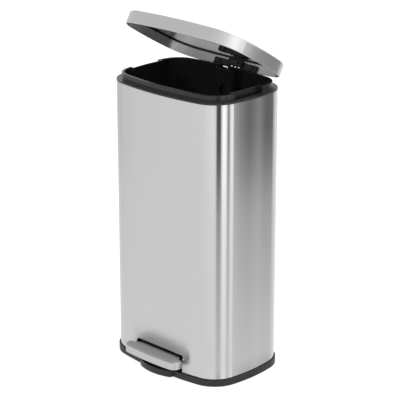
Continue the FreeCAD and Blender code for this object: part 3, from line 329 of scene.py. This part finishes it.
def grain_group():
    """Streaks along Z of the vector that comes in: a fine grain and broad soft bands."""
    group, start, end = new_group(
        "brushed_grain",
        [("Vector", "NodeSocketVector", None), ("Grain", "NodeSocketFloat", 900.0),
         ("Length", "NodeSocketFloat", 14.0), ("Tone", "NodeSocketColor", (0.6, 0.6, 0.6, 1)),
         ("Contrast", "NodeSocketFloat", 0.08), ("Gloss Low", "NodeSocketFloat", 0.2),
         ("Gloss High", "NodeSocketFloat", 0.3)],
        [("Colour", "NodeSocketColor"), ("Roughness", "NodeSocketFloat"), ("Height", "NodeSocketFloat")],
    )
    stretch = add_node(group, "ShaderNodeCombineXYZ", -1000, -200)
    join(group, start.outputs["Grain"], stretch.inputs["X"])
    join(group, start.outputs["Grain"], stretch.inputs["Y"])
    join(group, start.outputs["Length"], stretch.inputs["Z"])
    fine_at = add_node(group, "ShaderNodeVectorMath", -800, 0, operation="MULTIPLY")
    join(group, start.outputs["Vector"], fine_at.inputs[0])
    join(group, stretch.outputs[0], fine_at.inputs[1])
    fine = fill(add_node(group, "ShaderNodeTexNoise", -600, 60, "hair lines"),
                Scale=1.0, Detail=3.0, Roughness=0.6)
    broad_at = add_node(group, "ShaderNodeVectorMath", -800, -220, operation="MULTIPLY")
    broad_at.inputs[1].default_value = BAND_SCALE
    join(group, start.outputs["Vector"], broad_at.inputs[0])
    broad = fill(add_node(group, "ShaderNodeTexNoise", -600, -220, "soft bands"),
                 Scale=1.0, Detail=2.0, Roughness=0.5)
    join(group, fine_at.outputs[0], fine.inputs["Vector"])
    join(group, broad_at.outputs[0], broad.inputs["Vector"])
    both = add_node(group, "ShaderNodeMath", -380, -60, "lines with bands", operation="MULTIPLY_ADD")
    both.inputs[1].default_value = LINE_SHARE
    weak = add_node(group, "ShaderNodeMath", -560, -420, operation="MULTIPLY")
    weak.inputs[1].default_value = 1 - LINE_SHARE
    join(group, broad.outputs["Fac"], weak.inputs[0])
    join(group, fine.outputs["Fac"], both.inputs[0])
    join(group, weak.outputs[0], both.inputs[2])
    centred = add_node(group, "ShaderNodeMath", -180, -60, operation="SUBTRACT")
    centred.inputs[1].default_value = NOISE_MIDDLE
    join(group, both.outputs[0], centred.inputs[0])
    swing = add_node(group, "ShaderNodeMath", 0, 60, operation="MULTIPLY_ADD")
    swing.inputs[2].default_value = 1.0
    join(group, centred.outputs[0], swing.inputs[0])
    join(group, start.outputs["Contrast"], swing.inputs[1])
    tint = add_node(group, "ShaderNodeVectorMath", 200, 120, operation="SCALE")
    join(group, start.outputs["Tone"], tint.inputs[0])
    join(group, swing.outputs[0], tint.inputs["Scale"])
    gloss = add_node(group, "ShaderNodeMapRange", 200, -120)
    fill(gloss, From_Min=NOISE_SPAN[0], From_Max=NOISE_SPAN[1])
    join(group, both.outputs[0], gloss.inputs["Value"])
    join(group, start.outputs["Gloss Low"], gloss.inputs["To Min"])
    join(group, start.outputs["Gloss High"], gloss.inputs["To Max"])
    join(group, tint.outputs[0], end.inputs["Colour"])
    join(group, gloss.outputs["Result"], end.inputs["Roughness"])
    join(group, both.outputs[0], end.inputs["Height"])
    return group


GRAIN = grain_group()
print("group:", GRAIN.name)


# %% Moulded skin
def mould_group():
    """A fine pebble with slow patches in tone and gloss, as spark-eroded moulds leave."""
    group, start, end = new_group(
        "moulded_skin",
        [("Vector", "NodeSocketVector", None), ("Pebble", "NodeSocketFloat", 1400.0),
         ("Tone", "NodeSocketColor", (0.03, 0.03, 0.03, 1)), ("Contrast", "NodeSocketFloat", 0.2),
         ("Gloss Low", "NodeSocketFloat", 0.4), ("Gloss High", "NodeSocketFloat", 0.55)],
        [("Colour", "NodeSocketColor"), ("Roughness", "NodeSocketFloat"), ("Height", "NodeSocketFloat")],
    )
    pebble = fill(add_node(group, "ShaderNodeTexNoise", -700, 120, "pebble"), Detail=2.0, Roughness=0.55)
    join(group, start.outputs["Vector"], pebble.inputs["Vector"])
    join(group, start.outputs["Pebble"], pebble.inputs["Scale"])
    patch = fill(add_node(group, "ShaderNodeTexNoise", -700, -160, "slow patches"),
                 Scale=22.0, Detail=4.0, Roughness=0.6)
    join(group, start.outputs["Vector"], patch.inputs["Vector"])
    centred = add_node(group, "ShaderNodeMath", -460, -160, operation="SUBTRACT")
    centred.inputs[1].default_value = NOISE_MIDDLE
    join(group, patch.outputs["Fac"], centred.inputs[0])
    swing = add_node(group, "ShaderNodeMath", -260, -60, operation="MULTIPLY_ADD")
    swing.inputs[2].default_value = 1.0
    join(group, centred.outputs[0], swing.inputs[0])
    join(group, start.outputs["Contrast"], swing.inputs[1])
    tint = add_node(group, "ShaderNodeVectorMath", 0, 0, operation="SCALE")
    join(group, start.outputs["Tone"], tint.inputs[0])
    join(group, swing.outputs[0], tint.inputs["Scale"])
    gloss = add_node(group, "ShaderNodeMapRange", 0, -220)
    fill(gloss, From_Min=NOISE_SPAN[0], From_Max=NOISE_SPAN[1])
    join(group, patch.outputs["Fac"], gloss.inputs["Value"])
    join(group, start.outputs["Gloss Low"], gloss.inputs["To Min"])
    join(group, start.outputs["Gloss High"], gloss.inputs["To Max"])
    join(group, tint.outputs[0], end.inputs["Colour"])
    join(group, gloss.outputs["Result"], end.inputs["Roughness"])
    join(group, pebble.outputs["Fac"], end.inputs["Height"])
    return group


MOULD = mould_group()
print("group:", MOULD.name)


# %% Soft edges
FLAT_COSINE = 0.995  # a rounded normal this close to the face's own is no edge
EDGE_COSINE = 0.8    # and this far from it is wholly an edge


def edge_group():
    """Rounds the look of hard edges and gives a mask of where they are."""
    group, start, end = new_group(
        "soft_edges",
        [("Radius", "NodeSocketFloat", 0.0006)],
        [("Normal", "NodeSocketVector"), ("Edge", "NodeSocketFloat")],
    )
    round_off = add_node(group, "ShaderNodeBevel", -700, 0, samples=6)
    join(group, start.outputs["Radius"], round_off.inputs["Radius"])
    face = add_node(group, "ShaderNodeNewGeometry", -700, -220)
    turn = add_node(group, "ShaderNodeVectorMath", -440, -120, operation="DOT_PRODUCT")
    join(group, round_off.outputs["Normal"], turn.inputs[0])
    join(group, face.outputs["Normal"], turn.inputs[1])
    mask = add_node(group, "ShaderNodeMapRange", -200, -120)
    fill(mask, From_Min=FLAT_COSINE, From_Max=EDGE_COSINE)
    join(group, turn.outputs["Value"], mask.inputs["Value"])
    join(group, round_off.outputs["Normal"], end.inputs["Normal"])
    join(group, mask.outputs["Result"], end.inputs["Edge"])
    return group


EDGES = edge_group()
print("group:", EDGES.name)

# %% [markdown]
# ## Finishes
# Satin steel is a plain metal whose roughness and tiny bumps run in hair lines, upright on the
# casing and sideways on the lid and the pedal. The plastics are dark, with the pebble of the mould
# and a painted highlight along their edges. Both finishes start and end alike, so that is shared.

# %% What both finishes share
def blank_material(name, **sockets):
    """A material, its tree, its Principled shader and a node that reads Object coordinates."""
    material = bpy.data.materials.new(name)
    material.use_nodes = True
    tree = material.node_tree
    shader = fill(tree.nodes["Principled BSDF"], **sockets)
    return material, tree, shader, add_node(tree, "ShaderNodeTexCoord", -1100, 0)


def add_relief(tree, shader, skin, edge, bump, depth):
    """Joins the roughness and the bumps of a skin group, over soft edges, to the shader."""
    bumps = fill(add_node(tree, "ShaderNodeBump", -300, -200), Strength=bump, Distance=depth)
    join(tree, skin.outputs["Roughness"], shader.inputs["Roughness"])
    join(tree, skin.outputs["Height"], bumps.inputs["Height"])
    join(tree, edge.outputs["Normal"], bumps.inputs["Normal"])
    join(tree, bumps.outputs["Normal"], shader.inputs["Normal"])


# %% Steel
LINE_DEPTH = 0.0004
SIDEWAYS = (0, 90, 0)  # turns the hair lines from upright to sideways


def steel(name, tone, gloss=(0.2, 0.3), grain=900.0, length=14.0, contrast=0.08, bump=0.02, turn=(0, 0, 0),
          radius=0.0005):
    material, tree, shader, place = blank_material(name, Metallic=1.0, IOR=1.5)
    aim = add_node(tree, "ShaderNodeMapping", -900, 0, vector_type="TEXTURE")
    aim.inputs["Rotation"].default_value = [math.radians(v) for v in turn]
    hair = add_node(tree, "ShaderNodeGroup", -600, 0, node_tree=GRAIN)
    fill(hair, Grain=grain, Length=length, Tone=(tone, tone, tone * 0.995, 1), Contrast=contrast,
         Gloss_Low=gloss[0], Gloss_High=gloss[1])
    edge = add_node(tree, "ShaderNodeGroup", -600, -360, node_tree=EDGES)
    edge.inputs["Radius"].default_value = radius
    join(tree, place.outputs["Object"], aim.inputs["Vector"])
    join(tree, aim.outputs["Vector"], hair.inputs["Vector"])
    join(tree, hair.outputs["Colour"], shader.inputs["Base Color"])
    add_relief(tree, shader, hair, edge, bump, LINE_DEPTH)
    return material


# %% Plastic and rubber
PEBBLE_DEPTH = 0.0002


def plastic(name, tone, gloss=(0.38, 0.52), pebble=1400.0, bump=0.12, edge_highlight_grey=0.02, radius=0.0006,
            contrast=0.2):
    material, tree, shader, place = blank_material(name, Metallic=0.0, IOR=1.46)
    skin = add_node(tree, "ShaderNodeGroup", -800, 0, node_tree=MOULD)
    fill(skin, Pebble=pebble, Tone=(*tone, 1), Gloss_Low=gloss[0], Gloss_High=gloss[1], Contrast=contrast)
    edge = add_node(tree, "ShaderNodeGroup", -800, -360, node_tree=EDGES)
    edge.inputs["Radius"].default_value = radius
    # painted highlight: a paler grey added along the edges stands in for the light they catch
    edge_highlight = add_node(tree, "ShaderNodeMix", -460, 100, "painted edge highlight", data_type="RGBA", blend_type="ADD")
    edge_highlight.inputs["B"].default_value = (edge_highlight_grey, edge_highlight_grey, edge_highlight_grey, 1)
    join(tree, place.outputs["Object"], skin.inputs["Vector"])
    join(tree, edge.outputs["Edge"], edge_highlight.inputs["Factor"])
    join(tree, skin.outputs["Colour"], edge_highlight.inputs["A"])
    join(tree, edge_highlight.outputs["Result"], shader.inputs["Base Color"])
    add_relief(tree, shader, skin, edge, bump, PEBBLE_DEPTH)
    return material


# %% [markdown]
# The front of the casing is pressed in round the pedal. Pressing stretches the sheet and dulls it,
# so the gloss falls off softly towards the slot. The place is picked by Object coordinates, with
# three ramps multiplied together: height, depth and distance from the middle.

# %% Dull patch round the pedal slot
SCOOP_DULL = 0.5  # roughness at the slot
SCOOP_SIDES = 0.07, 0.1       # distances from the middle between which the sheet regains its gloss
SCOOP_DEPTHS = -0.112, -0.1   # places from the front wall inwards between which it does
SCOOP_HEIGHTS = 0.05, 0.135   # heights between which it does


def dull_the_scoop(material):
    tree = material.node_tree
    shader = tree.nodes["Principled BSDF"]
    gloss = shader.inputs["Roughness"].links[0].from_socket
    place = add_node(tree, "ShaderNodeTexCoord", -1100, 700)
    parts = add_node(tree, "ShaderNodeSeparateXYZ", -900, 700)
    away = add_node(tree, "ShaderNodeMath", -720, 820, operation="ABSOLUTE")
    ramps = []
    for row, (start, end) in enumerate((SCOOP_SIDES, SCOOP_DEPTHS, SCOOP_HEIGHTS)):
        ramp = add_node(tree, "ShaderNodeMapRange", -540, 820 - 260 * row, interpolation_type="SMOOTHSTEP")
        ramps.append(fill(ramp, From_Min=start, From_Max=end, To_Min=1.0, To_Max=0.0))
    front = add_node(tree, "ShaderNodeMath", -320, 700, operation="MULTIPLY")
    patch = add_node(tree, "ShaderNodeMath", -160, 600, "pressed patch", operation="MULTIPLY")
    mix = add_node(tree, "ShaderNodeMix", -120, 300, "duller there", data_type="FLOAT")
    mix.inputs["B"].default_value = SCOOP_DULL
    join(tree, place.outputs["Object"], parts.inputs[0])
    join(tree, parts.outputs["X"], away.inputs[0])
    join(tree, away.outputs[0], ramps[0].inputs["Value"])
    join(tree, parts.outputs["Y"], ramps[1].inputs["Value"])
    join(tree, parts.outputs["Z"], ramps[2].inputs["Value"])
    join(tree, ramps[0].outputs["Result"], front.inputs[0])
    join(tree, ramps[1].outputs["Result"], front.inputs[1])
    join(tree, front.outputs[0], patch.inputs[0])
    join(tree, ramps[2].outputs["Result"], patch.inputs[1])
    join(tree, patch.outputs[0], mix.inputs["Factor"])
    join(tree, gloss, mix.inputs["A"])
    join(tree, mix.outputs["Result"], shader.inputs["Roughness"])


# %% Painted shade under the frame's lip
LIP_SHADE_HEIGHTS = 0.6083, 0.6088  # heights between which the painted shade of the lip sets in on the sheet's folded top
# grey painted on the folded top edge as the shade of the plastic lip
LIP_SHADE_TONE = 0.09


def paint_lip_shade(material):
    """Paints the shade of the plastic lip onto the folded top edge as a darker base colour."""
    tree = material.node_tree
    colour = tree.nodes["Principled BSDF"].inputs["Base Color"]
    plain = colour.links[0].from_socket
    place = add_node(tree, "ShaderNodeTexCoord", -500, 1100)
    parts = add_node(tree, "ShaderNodeSeparateXYZ", -340, 1100)
    ramp = fill(add_node(tree, "ShaderNodeMapRange", -180, 1100), From_Min=LIP_SHADE_HEIGHTS[0], From_Max=LIP_SHADE_HEIGHTS[1])
    # painted shade: dark grey mixed into the base colour along the top edge
    mix = add_node(tree, "ShaderNodeMix", -20, 900, "painted lip shade", data_type="RGBA")
    mix.inputs["B"].default_value = (LIP_SHADE_TONE, LIP_SHADE_TONE, LIP_SHADE_TONE, 1)
    join(tree, place.outputs["Object"], parts.inputs[0])
    join(tree, parts.outputs["Z"], ramp.inputs["Value"])
    join(tree, ramp.outputs["Result"], mix.inputs["Factor"])
    join(tree, plain, mix.inputs["A"])
    join(tree, mix.outputs["Result"], colour)


# %% The set of finishes
FINE_GRAIN = 1500.0
SPECKLE = 300.0  # grain and length alike give specks in place of lines
casing_steel = steel("casing_steel", 0.585, gloss=(0.09, 0.14), grain=FINE_GRAIN, contrast=0.035,
                     bump=0.005, radius=0.00015)
dull_the_scoop(casing_steel)
paint_lip_shade(casing_steel)
lid_steel = steel("lid_steel", 0.64, gloss=(0.27, 0.35), grain=FINE_GRAIN, contrast=0.04,
                  bump=0.006, turn=SIDEWAYS)
liner_steel = steel("liner_steel", 0.5, gloss=(0.05, 0.1), grain=FINE_GRAIN, contrast=0.04,
                    bump=0.004, turn=SIDEWAYS)
pedal_steel = steel("pedal_steel", 0.56, gloss=(0.28, 0.38), grain=FINE_GRAIN, contrast=0.04,
                    bump=0.006, turn=SIDEWAYS)
zinc = steel("zinc_plate", 0.55, gloss=(0.3, 0.42), grain=SPECKLE, length=SPECKLE)
base_plastic = plastic("base_plastic", (0.015, 0.015, 0.0155))
collar_plastic = plastic("collar_plastic", (0.026, 0.026, 0.0265), gloss=(0.26, 0.3), bump=0.06,
                         edge_highlight_grey=0.07, contrast=0.1)
bucket_plastic = plastic("bucket_plastic", (0.014, 0.014, 0.0142), gloss=(0.25, 0.28), bump=0.05,
                         edge_highlight_grey=0.09, radius=0.0009, contrast=0.08)
blackened = steel("blackened_screw", 0.07, gloss=(0.3, 0.4), grain=SPECKLE, length=SPECKLE)
black_plastic = plastic("black_plastic", (0.012, 0.012, 0.0125), gloss=(0.32, 0.45), pebble=2000.0)
nylon = plastic("nylon_bush", (0.62, 0.61, 0.57), gloss=(0.42, 0.5), edge_highlight_grey=0.05)
rubber = plastic("foot_rubber", (0.015, 0.015, 0.015), gloss=(0.62, 0.75), pebble=2600.0, bump=0.2)

FINISHES = {
    casing_steel: ["outer_shell"],
    lid_steel: ["lid_skirt", "lid_top"],
    liner_steel: ["lid_liner"],
    pedal_steel: ["pedal_cap"],
    zinc: ["base_screws", "hinge_screws", "guide_screws", "hinge_pin", "crank_pin",
           "push_rod", "damper_rod", "pedal_lever", "pedal_rivets", "pedal_axle", "axle_clips",
           "damper_cylinder"],
    blackened: ["bracket_screws"],
    base_plastic: ["base_ring", "base_plate", "pedal_core"],
    collar_plastic: ["top_frame"],
    bucket_plastic: ["inner_bucket"],
    black_plastic: ["lid_seal", "lid_bracket", "hinge_blocks", "rod_channel", "rod_guides", "rod_yoke",
                    "rod_foot", "damper_clip", "bearing_stands"],
    nylon: ["axle_bushes"],
    rubber: ["rubber_feet", "stop_pad"],
}
for material, names in FINISHES.items():
    for name in names:
        slots = nodes[name].data.materials
        slots.clear()
        slots.append(material)
print("finished parts:", sum(len(names) for names in FINISHES.values()), "of", len(nodes))

# %% [markdown]
# ## Small hardware
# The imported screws, rivets and feet are plain discs. The real ones have rounded heads, driver
# crosses and moulded steps. Each kind is modelled once: a cylinder gets its shape in edit mode, and
# the copies, each with a mesh of its own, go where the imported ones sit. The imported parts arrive
# selected, and an operator acts on all that is selected, so everything is deselected first.

# %% Picking by place
def select_only(*pieces):
    """Selects these pieces and nothing else; the first becomes the active one."""
    bpy.ops.object.select_all(action="DESELECT")
    for piece in pieces:
        piece.select_set(True)
    bpy.context.view_layer.objects.active = pieces[0]


def new_piece(name, adder, **settings):
    """Adds a primitive with nothing else selected, and puts its place in its mesh."""
    bpy.ops.object.select_all(action="DESELECT")
    adder(**settings)
    piece = bpy.context.object
    piece.name = name
    bpy.ops.object.transform_apply(location=True, rotation=True, scale=True)
    return piece


def pick(piece, kind, test):
    """In edit mode, selects only the faces or edges of piece that pass the test."""
    bpy.ops.mesh.select_all(action="DESELECT")
    mesh = bmesh.from_edit_mesh(piece.data)
    for part in getattr(mesh, kind):
        if test(part):
            part.select_set(True)
    bmesh.update_edit_mesh(piece.data)


def edge_at(height):
    return lambda edge: all(abs(corner.co.z - height) < 1e-6 for corner in edge.verts)


def looks_down(face):
    return face.normal.z < -0.99


def cut_with(piece, tool, operation="DIFFERENCE"):
    """Applies a boolean of tool on piece, then deletes the tool."""
    select_only(piece)
    cut = piece.modifiers.new("cut", "BOOLEAN")
    cut.object, cut.operation, cut.solver = tool, operation, "EXACT"
    bpy.ops.object.modifier_apply(modifier=cut.name)
    bpy.data.objects.remove(tool, do_unlink=True)


def smooth(piece, angle=35):
    select_only(piece)
    bpy.ops.object.shade_smooth_by_angle(angle=math.radians(angle))


def join_pieces(name, pieces):
    """Joins loose pieces into one object."""
    select_only(*pieces)
    bpy.ops.object.join()
    pieces[0].name = name
    return pieces[0]


# %% Copies in their places
def put_copies(model, name, spots):
    """Copies of model, one for each (place, direction), joined; the model itself is deleted."""
    copies = []
    for place, direction in spots:
        twin = model.copy()
        twin.data = model.data.copy()
        scene.collection.objects.link(twin)
        turn = Vector(direction).to_track_quat("Z", "Y").to_matrix().to_4x4()
        twin.data.transform(Matrix.Translation(place) @ turn)
        copies.append(twin)
    bpy.data.objects.remove(model, do_unlink=True)
    return join_pieces(name, copies)


def dress(piece, material, body, slot, *stands_for):
    """Gives a piece its finish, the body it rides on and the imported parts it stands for."""
    piece.data.materials.clear()
    piece.data.materials.append(material)
    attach(piece, body)
    if stands_for:
        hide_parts(*stands_for)
    print(piece.name, "faces:", len(piece.data.polygons))
    return piece


# %% [markdown]
# ### Pan-head screws
# A pan head is a short cylinder with a well rounded rim, and its driver cross is cut by two thin
# bars at right angles. A boolean gives crisp walls in one step; insetting the cross by hand would
# take a dozen. The shank is drawn out of the underside by an inset and an extrude.

# %% A pan-head screw
HEAD_ROUND = 0.6   # share of the head's height that its rounded rim takes
CROSS_LONG = 1.05  # length of the driver cross, in head radii
CROSS_WIDE = 0.22  # and its width


def pan_head(radius, height, shank, length):
    """A screw whose head sits on z = 0, pointing up, with a stub of its shank below."""
    screw = new_piece("screw", bpy.ops.mesh.primitive_cylinder_add, vertices=40, radius=radius,
                      depth=height, location=(0, 0, height / 2))
    bpy.ops.object.mode_set(mode="EDIT")
    pick(screw, "edges", edge_at(height))
    bpy.ops.mesh.bevel(offset=height * HEAD_ROUND, segments=5, affect="EDGES")
    pick(screw, "faces", looks_down)
    bpy.ops.mesh.inset(thickness=radius - shank)
    bpy.ops.mesh.extrude_region_move(TRANSFORM_OT_translate={"value": (0, 0, -length)})
    bpy.ops.object.mode_set(mode="OBJECT")
    for quarter in (0, math.pi / 2):
        bar = new_piece("bar", bpy.ops.mesh.primitive_cube_add, size=1, location=(0, 0, height),
                        rotation=(0, 0, quarter),
                        scale=(radius * CROSS_LONG, radius * CROSS_WIDE, height))
        cut_with(screw, bar)
    smooth(screw)
    return screw


# %% Screws of the hinge bracket
LID_OPEN = 30.4  # degrees that the lid stands open at rest
BRACKET_HEAD = 0.0032, 0.0012   # radius and height of the heads
BRACKET_SHANK = 0.0014, 0.002   # radius and length of the stub below each
lid_turn = math.radians(LID_OPEN)
bracket_out = Vector((0, -math.cos(lid_turn), math.sin(lid_turn)))
low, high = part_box("bracket_screws")
face_y = low.y + BRACKET_HEAD[0] * math.sin(lid_turn)
face_z = high.z - BRACKET_HEAD[0] * math.cos(lid_turn)
seat = Vector((high.x - BRACKET_HEAD[0], face_y, face_z)) - bracket_out * BRACKET_HEAD[1]
spots = [(Vector((side * seat.x, seat.y, seat.z)), bracket_out) for side in (1, -1)]
screws = put_copies(pan_head(*BRACKET_HEAD, *BRACKET_SHANK), "bracket_screw_heads", spots)
dress(screws, blackened, "lid", "bright_steel", "bracket_screws")

# %% Screws of the hinge
HINGE_HEAD_R = 0.0022
HINGE_SHANK = 0.001, 0.0005
low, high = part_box("hinge_screws")
spots = [(Vector((side * (high.x - HINGE_HEAD_R), (low.y + high.y) / 2, low.z)), (0, 0, 1))
         for side in (1, -1)]
screws = put_copies(pan_head(HINGE_HEAD_R, high.z - low.z, *HINGE_SHANK), "hinge_screw_heads", spots)
dress(screws, zinc, "casing", "bright_steel", "hinge_screws")

# %% Screws of the rod guides
GUIDE_HEAD_R = 0.003
GUIDE_SHANK = 0.0014, 0.0005
low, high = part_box("guide_screws")
spots = [(Vector((0, high.y, z)), (0, -1, 0)) for z in (low.z + GUIDE_HEAD_R, high.z - GUIDE_HEAD_R)]
screws = put_copies(pan_head(GUIDE_HEAD_R, high.y - low.y, *GUIDE_SHANK), "guide_screw_heads", spots)
dress(screws, zinc, "casing", "bright_steel", "guide_screws")

# %% Screws of the base
BASE_HEAD = 0.0038, 0.0016
BASE_SHANK = 0.0019, 0.0025
low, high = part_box("base_screws")
spots = [(Vector((x, y, low.z + BASE_HEAD[1])), (0, 0, -1))
         for x in (low.x + BASE_HEAD[0], high.x - BASE_HEAD[0])
         for y in (low.y + BASE_HEAD[0], high.y - BASE_HEAD[0])]
screws = put_copies(pan_head(*BASE_HEAD, *BASE_SHANK), "base_screw_heads", spots)
dress(screws, zinc, "casing", "bright_steel", "base_screws")

# %% [markdown]
# ### Rubber feet
# A moulded foot has a softened rim and a stepped underside that grips like a suction ring. It could
# be spun from a profile. Insets of a cylinder's bottom face, each followed by a small move up or
# down, make the same rings without one.

# %% Feet
FOOT_R = 0.009
FOOT_RIM = 0.0007
FOOT_RINGS = (  # for each ring of the underside: how far it is inset, and how far it then moves up
    (0.0016, 0), (0.0004, 0.0007), (0.0012, 0), (0.0004, -0.0006), (0.0014, 0), (0.0004, 0.0009),
)
low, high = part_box("rubber_feet")
foot_t = high.z - low.z
foot = new_piece("foot", bpy.ops.mesh.primitive_cylinder_add, vertices=56, radius=FOOT_R, depth=foot_t,
                 location=(0, 0, foot_t / 2))
bpy.ops.object.mode_set(mode="EDIT")
pick(foot, "edges", edge_at(0))
bpy.ops.mesh.bevel(offset=FOOT_RIM, segments=3, affect="EDGES")
pick(foot, "faces", looks_down)
for step_in, step_up in FOOT_RINGS:
    bpy.ops.mesh.inset(thickness=step_in)
    bpy.ops.transform.translate(value=(0, 0, step_up))
bpy.ops.object.mode_set(mode="OBJECT")
smooth(foot)
far_x, far_y = high.x - FOOT_R, high.y - FOOT_R
spots = [(Vector((0, 0, 0)), (0, 0, 1))]
spots += [(Vector((x, y, 0)), (0, 0, 1)) for x in (-far_x, far_x) for y in (-far_y, far_y)]
feet = put_copies(foot, "moulded_feet", spots)
dress(feet, rubber, "casing", "foot_rubber", "rubber_feet")

# %% [markdown]
# ### Rivets under the pedal
# A closed rivet shows a low dome. It could be a cylinder with a round bevel, but half a ball, cut
# by bisect and flattened, is round to its very top. An inset and an extrude give it a shank.

# %% Rivets
RIVET_R = 0.0043
RIVET_FLAT = 0.23      # height of the dome as a share of its radius
RIVET_LEDGE = 0.0018   # how far the shank lies in from the rim
RIVET_SHANK = 0.003
CUT_HEIGHT = 0.00001   # just above the ball's own ring of corners
low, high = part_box("pedal_rivets")
dome = new_piece("dome", bpy.ops.mesh.primitive_uv_sphere_add, segments=40, ring_count=20, radius=RIVET_R)
bpy.ops.object.mode_set(mode="EDIT")
bpy.ops.mesh.select_all(action="SELECT")
bpy.ops.mesh.bisect(plane_co=(0, 0, CUT_HEIGHT), plane_no=(0, 0, 1), use_fill=True, clear_inner=True)
bpy.ops.mesh.select_all(action="SELECT")
bpy.ops.transform.resize(value=(1, 1, RIVET_FLAT))
pick(dome, "faces", looks_down)
bpy.ops.mesh.inset(thickness=RIVET_LEDGE)
bpy.ops.mesh.extrude_region_move(TRANSFORM_OT_translate={"value": (0, 0, -RIVET_SHANK)})
bpy.ops.object.mode_set(mode="OBJECT")
smooth(dome)
seat_z = low.z + RIVET_R * RIVET_FLAT
spots = [(Vector((side * (high.x - RIVET_R), high.y - RIVET_R, seat_z)), (0, 0, -1)) for side in (1, -1)]
spots.append((Vector((0, low.y + RIVET_R, seat_z)), (0, 0, -1)))
rivets = put_copies(dome, "domed_rivets", spots)
dress(rivets, zinc, "pedal", "bright_steel", "pedal_rivets")

# %% [markdown]
# ### Seam, sills and ribs
# The casing is one sheet, rolled and welded at the back, so a fine raised line runs up there. Two
# low sills on the plastic frame close the gap beside the hinge, and ribs stiffen the base plate.
# Sweeping a profile along a line would make each of them. A bar with bevelled edges is simpler and
# has the flat ends that they need. The ribs cross, so a union makes them one moulding.

# %% Bars
def bar_piece(name, low, high, soften):
    """A bar from corner low to corner high with softened edges."""
    middle = [(a + b) / 2 for a, b in zip(low, high)]
    size = [b - a for a, b in zip(low, high)]
    piece = new_piece(name, bpy.ops.mesh.primitive_cube_add, size=1, location=middle, scale=size)
    bpy.ops.object.mode_set(mode="EDIT")
    bpy.ops.mesh.select_all(action="SELECT")
    bpy.ops.mesh.bevel(offset=soften, segments=3, affect="EDGES")
    bpy.ops.object.mode_set(mode="OBJECT")
    smooth(piece)
    return piece


def merge(name, pieces):
    """One piece out of bars that cross, as one moulding."""
    first = pieces[0]
    for other in pieces[1:]:
        cut_with(first, other, "UNION")
    first.name = name
    smooth(first)
    return first


# %% The weld seam
SEAM_HALF = 0.0011
SEAM_SUNK, SEAM_PROUD = 0.0002, 0.0003
SEAM_SHORT = 0.025, 0.012  # how far it stops short of the casing's foot and of its top
SEAM_SOFT = 0.00022
shell_low, shell_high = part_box("outer_shell")
seam = bar_piece("back_weld_seam",
                 (-SEAM_HALF, shell_high.y - SEAM_SUNK, shell_low.z + SEAM_SHORT[0]),
                 (SEAM_HALF, shell_high.y + SEAM_PROUD, shell_high.z - SEAM_SHORT[1]), SEAM_SOFT)
dress(seam, zinc, "casing", "casing_steel")

# %% The sills
SILL_FROM, SILL_LONG = 0.0202, 0.025  # start beside the hinge, and length
SILL_Y = shell_high.y - 0.0052, shell_high.y - 0.0036
SILL_Z = shell_high.z + 0.0012, shell_high.z + 0.007
SILL_SOFT = 0.0004
sills = [bar_piece("sill", (x, SILL_Y[0], SILL_Z[0]), (x + SILL_LONG, SILL_Y[1], SILL_Z[1]), SILL_SOFT)
         for x in (-SILL_FROM - SILL_LONG, SILL_FROM)]
dress(join_pieces("hinge_sills", sills), collar_plastic, "casing", "base_plastic")

# %% The ribs
RIB_HALF, RIB_SUNK, RIB_SOFT = 0.001, 0.0004, 0.0003
RIB_ALONG_X = dict(reach=(0.13, RIB_HALF), drop=0.0014)
RIB_ALONG_Y = dict(reach=(RIB_HALF, 0.085), drop=0.0015)  # deeper, so that no faces coincide
RIB_ROWS, RIB_COLUMNS = (-0.036, 0.036), (-0.06, 0.06)
plate_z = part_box("base_plate")[0].z


def rib_bar(x, y, reach, drop):
    """A rib below the base plate with its middle at x, y."""
    low = (x - reach[0], y - reach[1], plate_z - drop)
    high = (x + reach[0], y + reach[1], plate_z + RIB_SUNK)
    return bar_piece("rib", low, high, RIB_SOFT)


ribs = [rib_bar(0, y, **RIB_ALONG_X) for y in RIB_ROWS] + [rib_bar(x, 0, **RIB_ALONG_Y) for x in RIB_COLUMNS]
dress(merge("base_ribs", ribs), base_plastic, "casing", "base_plastic")

# %% The bounds of all that is shown
low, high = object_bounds()
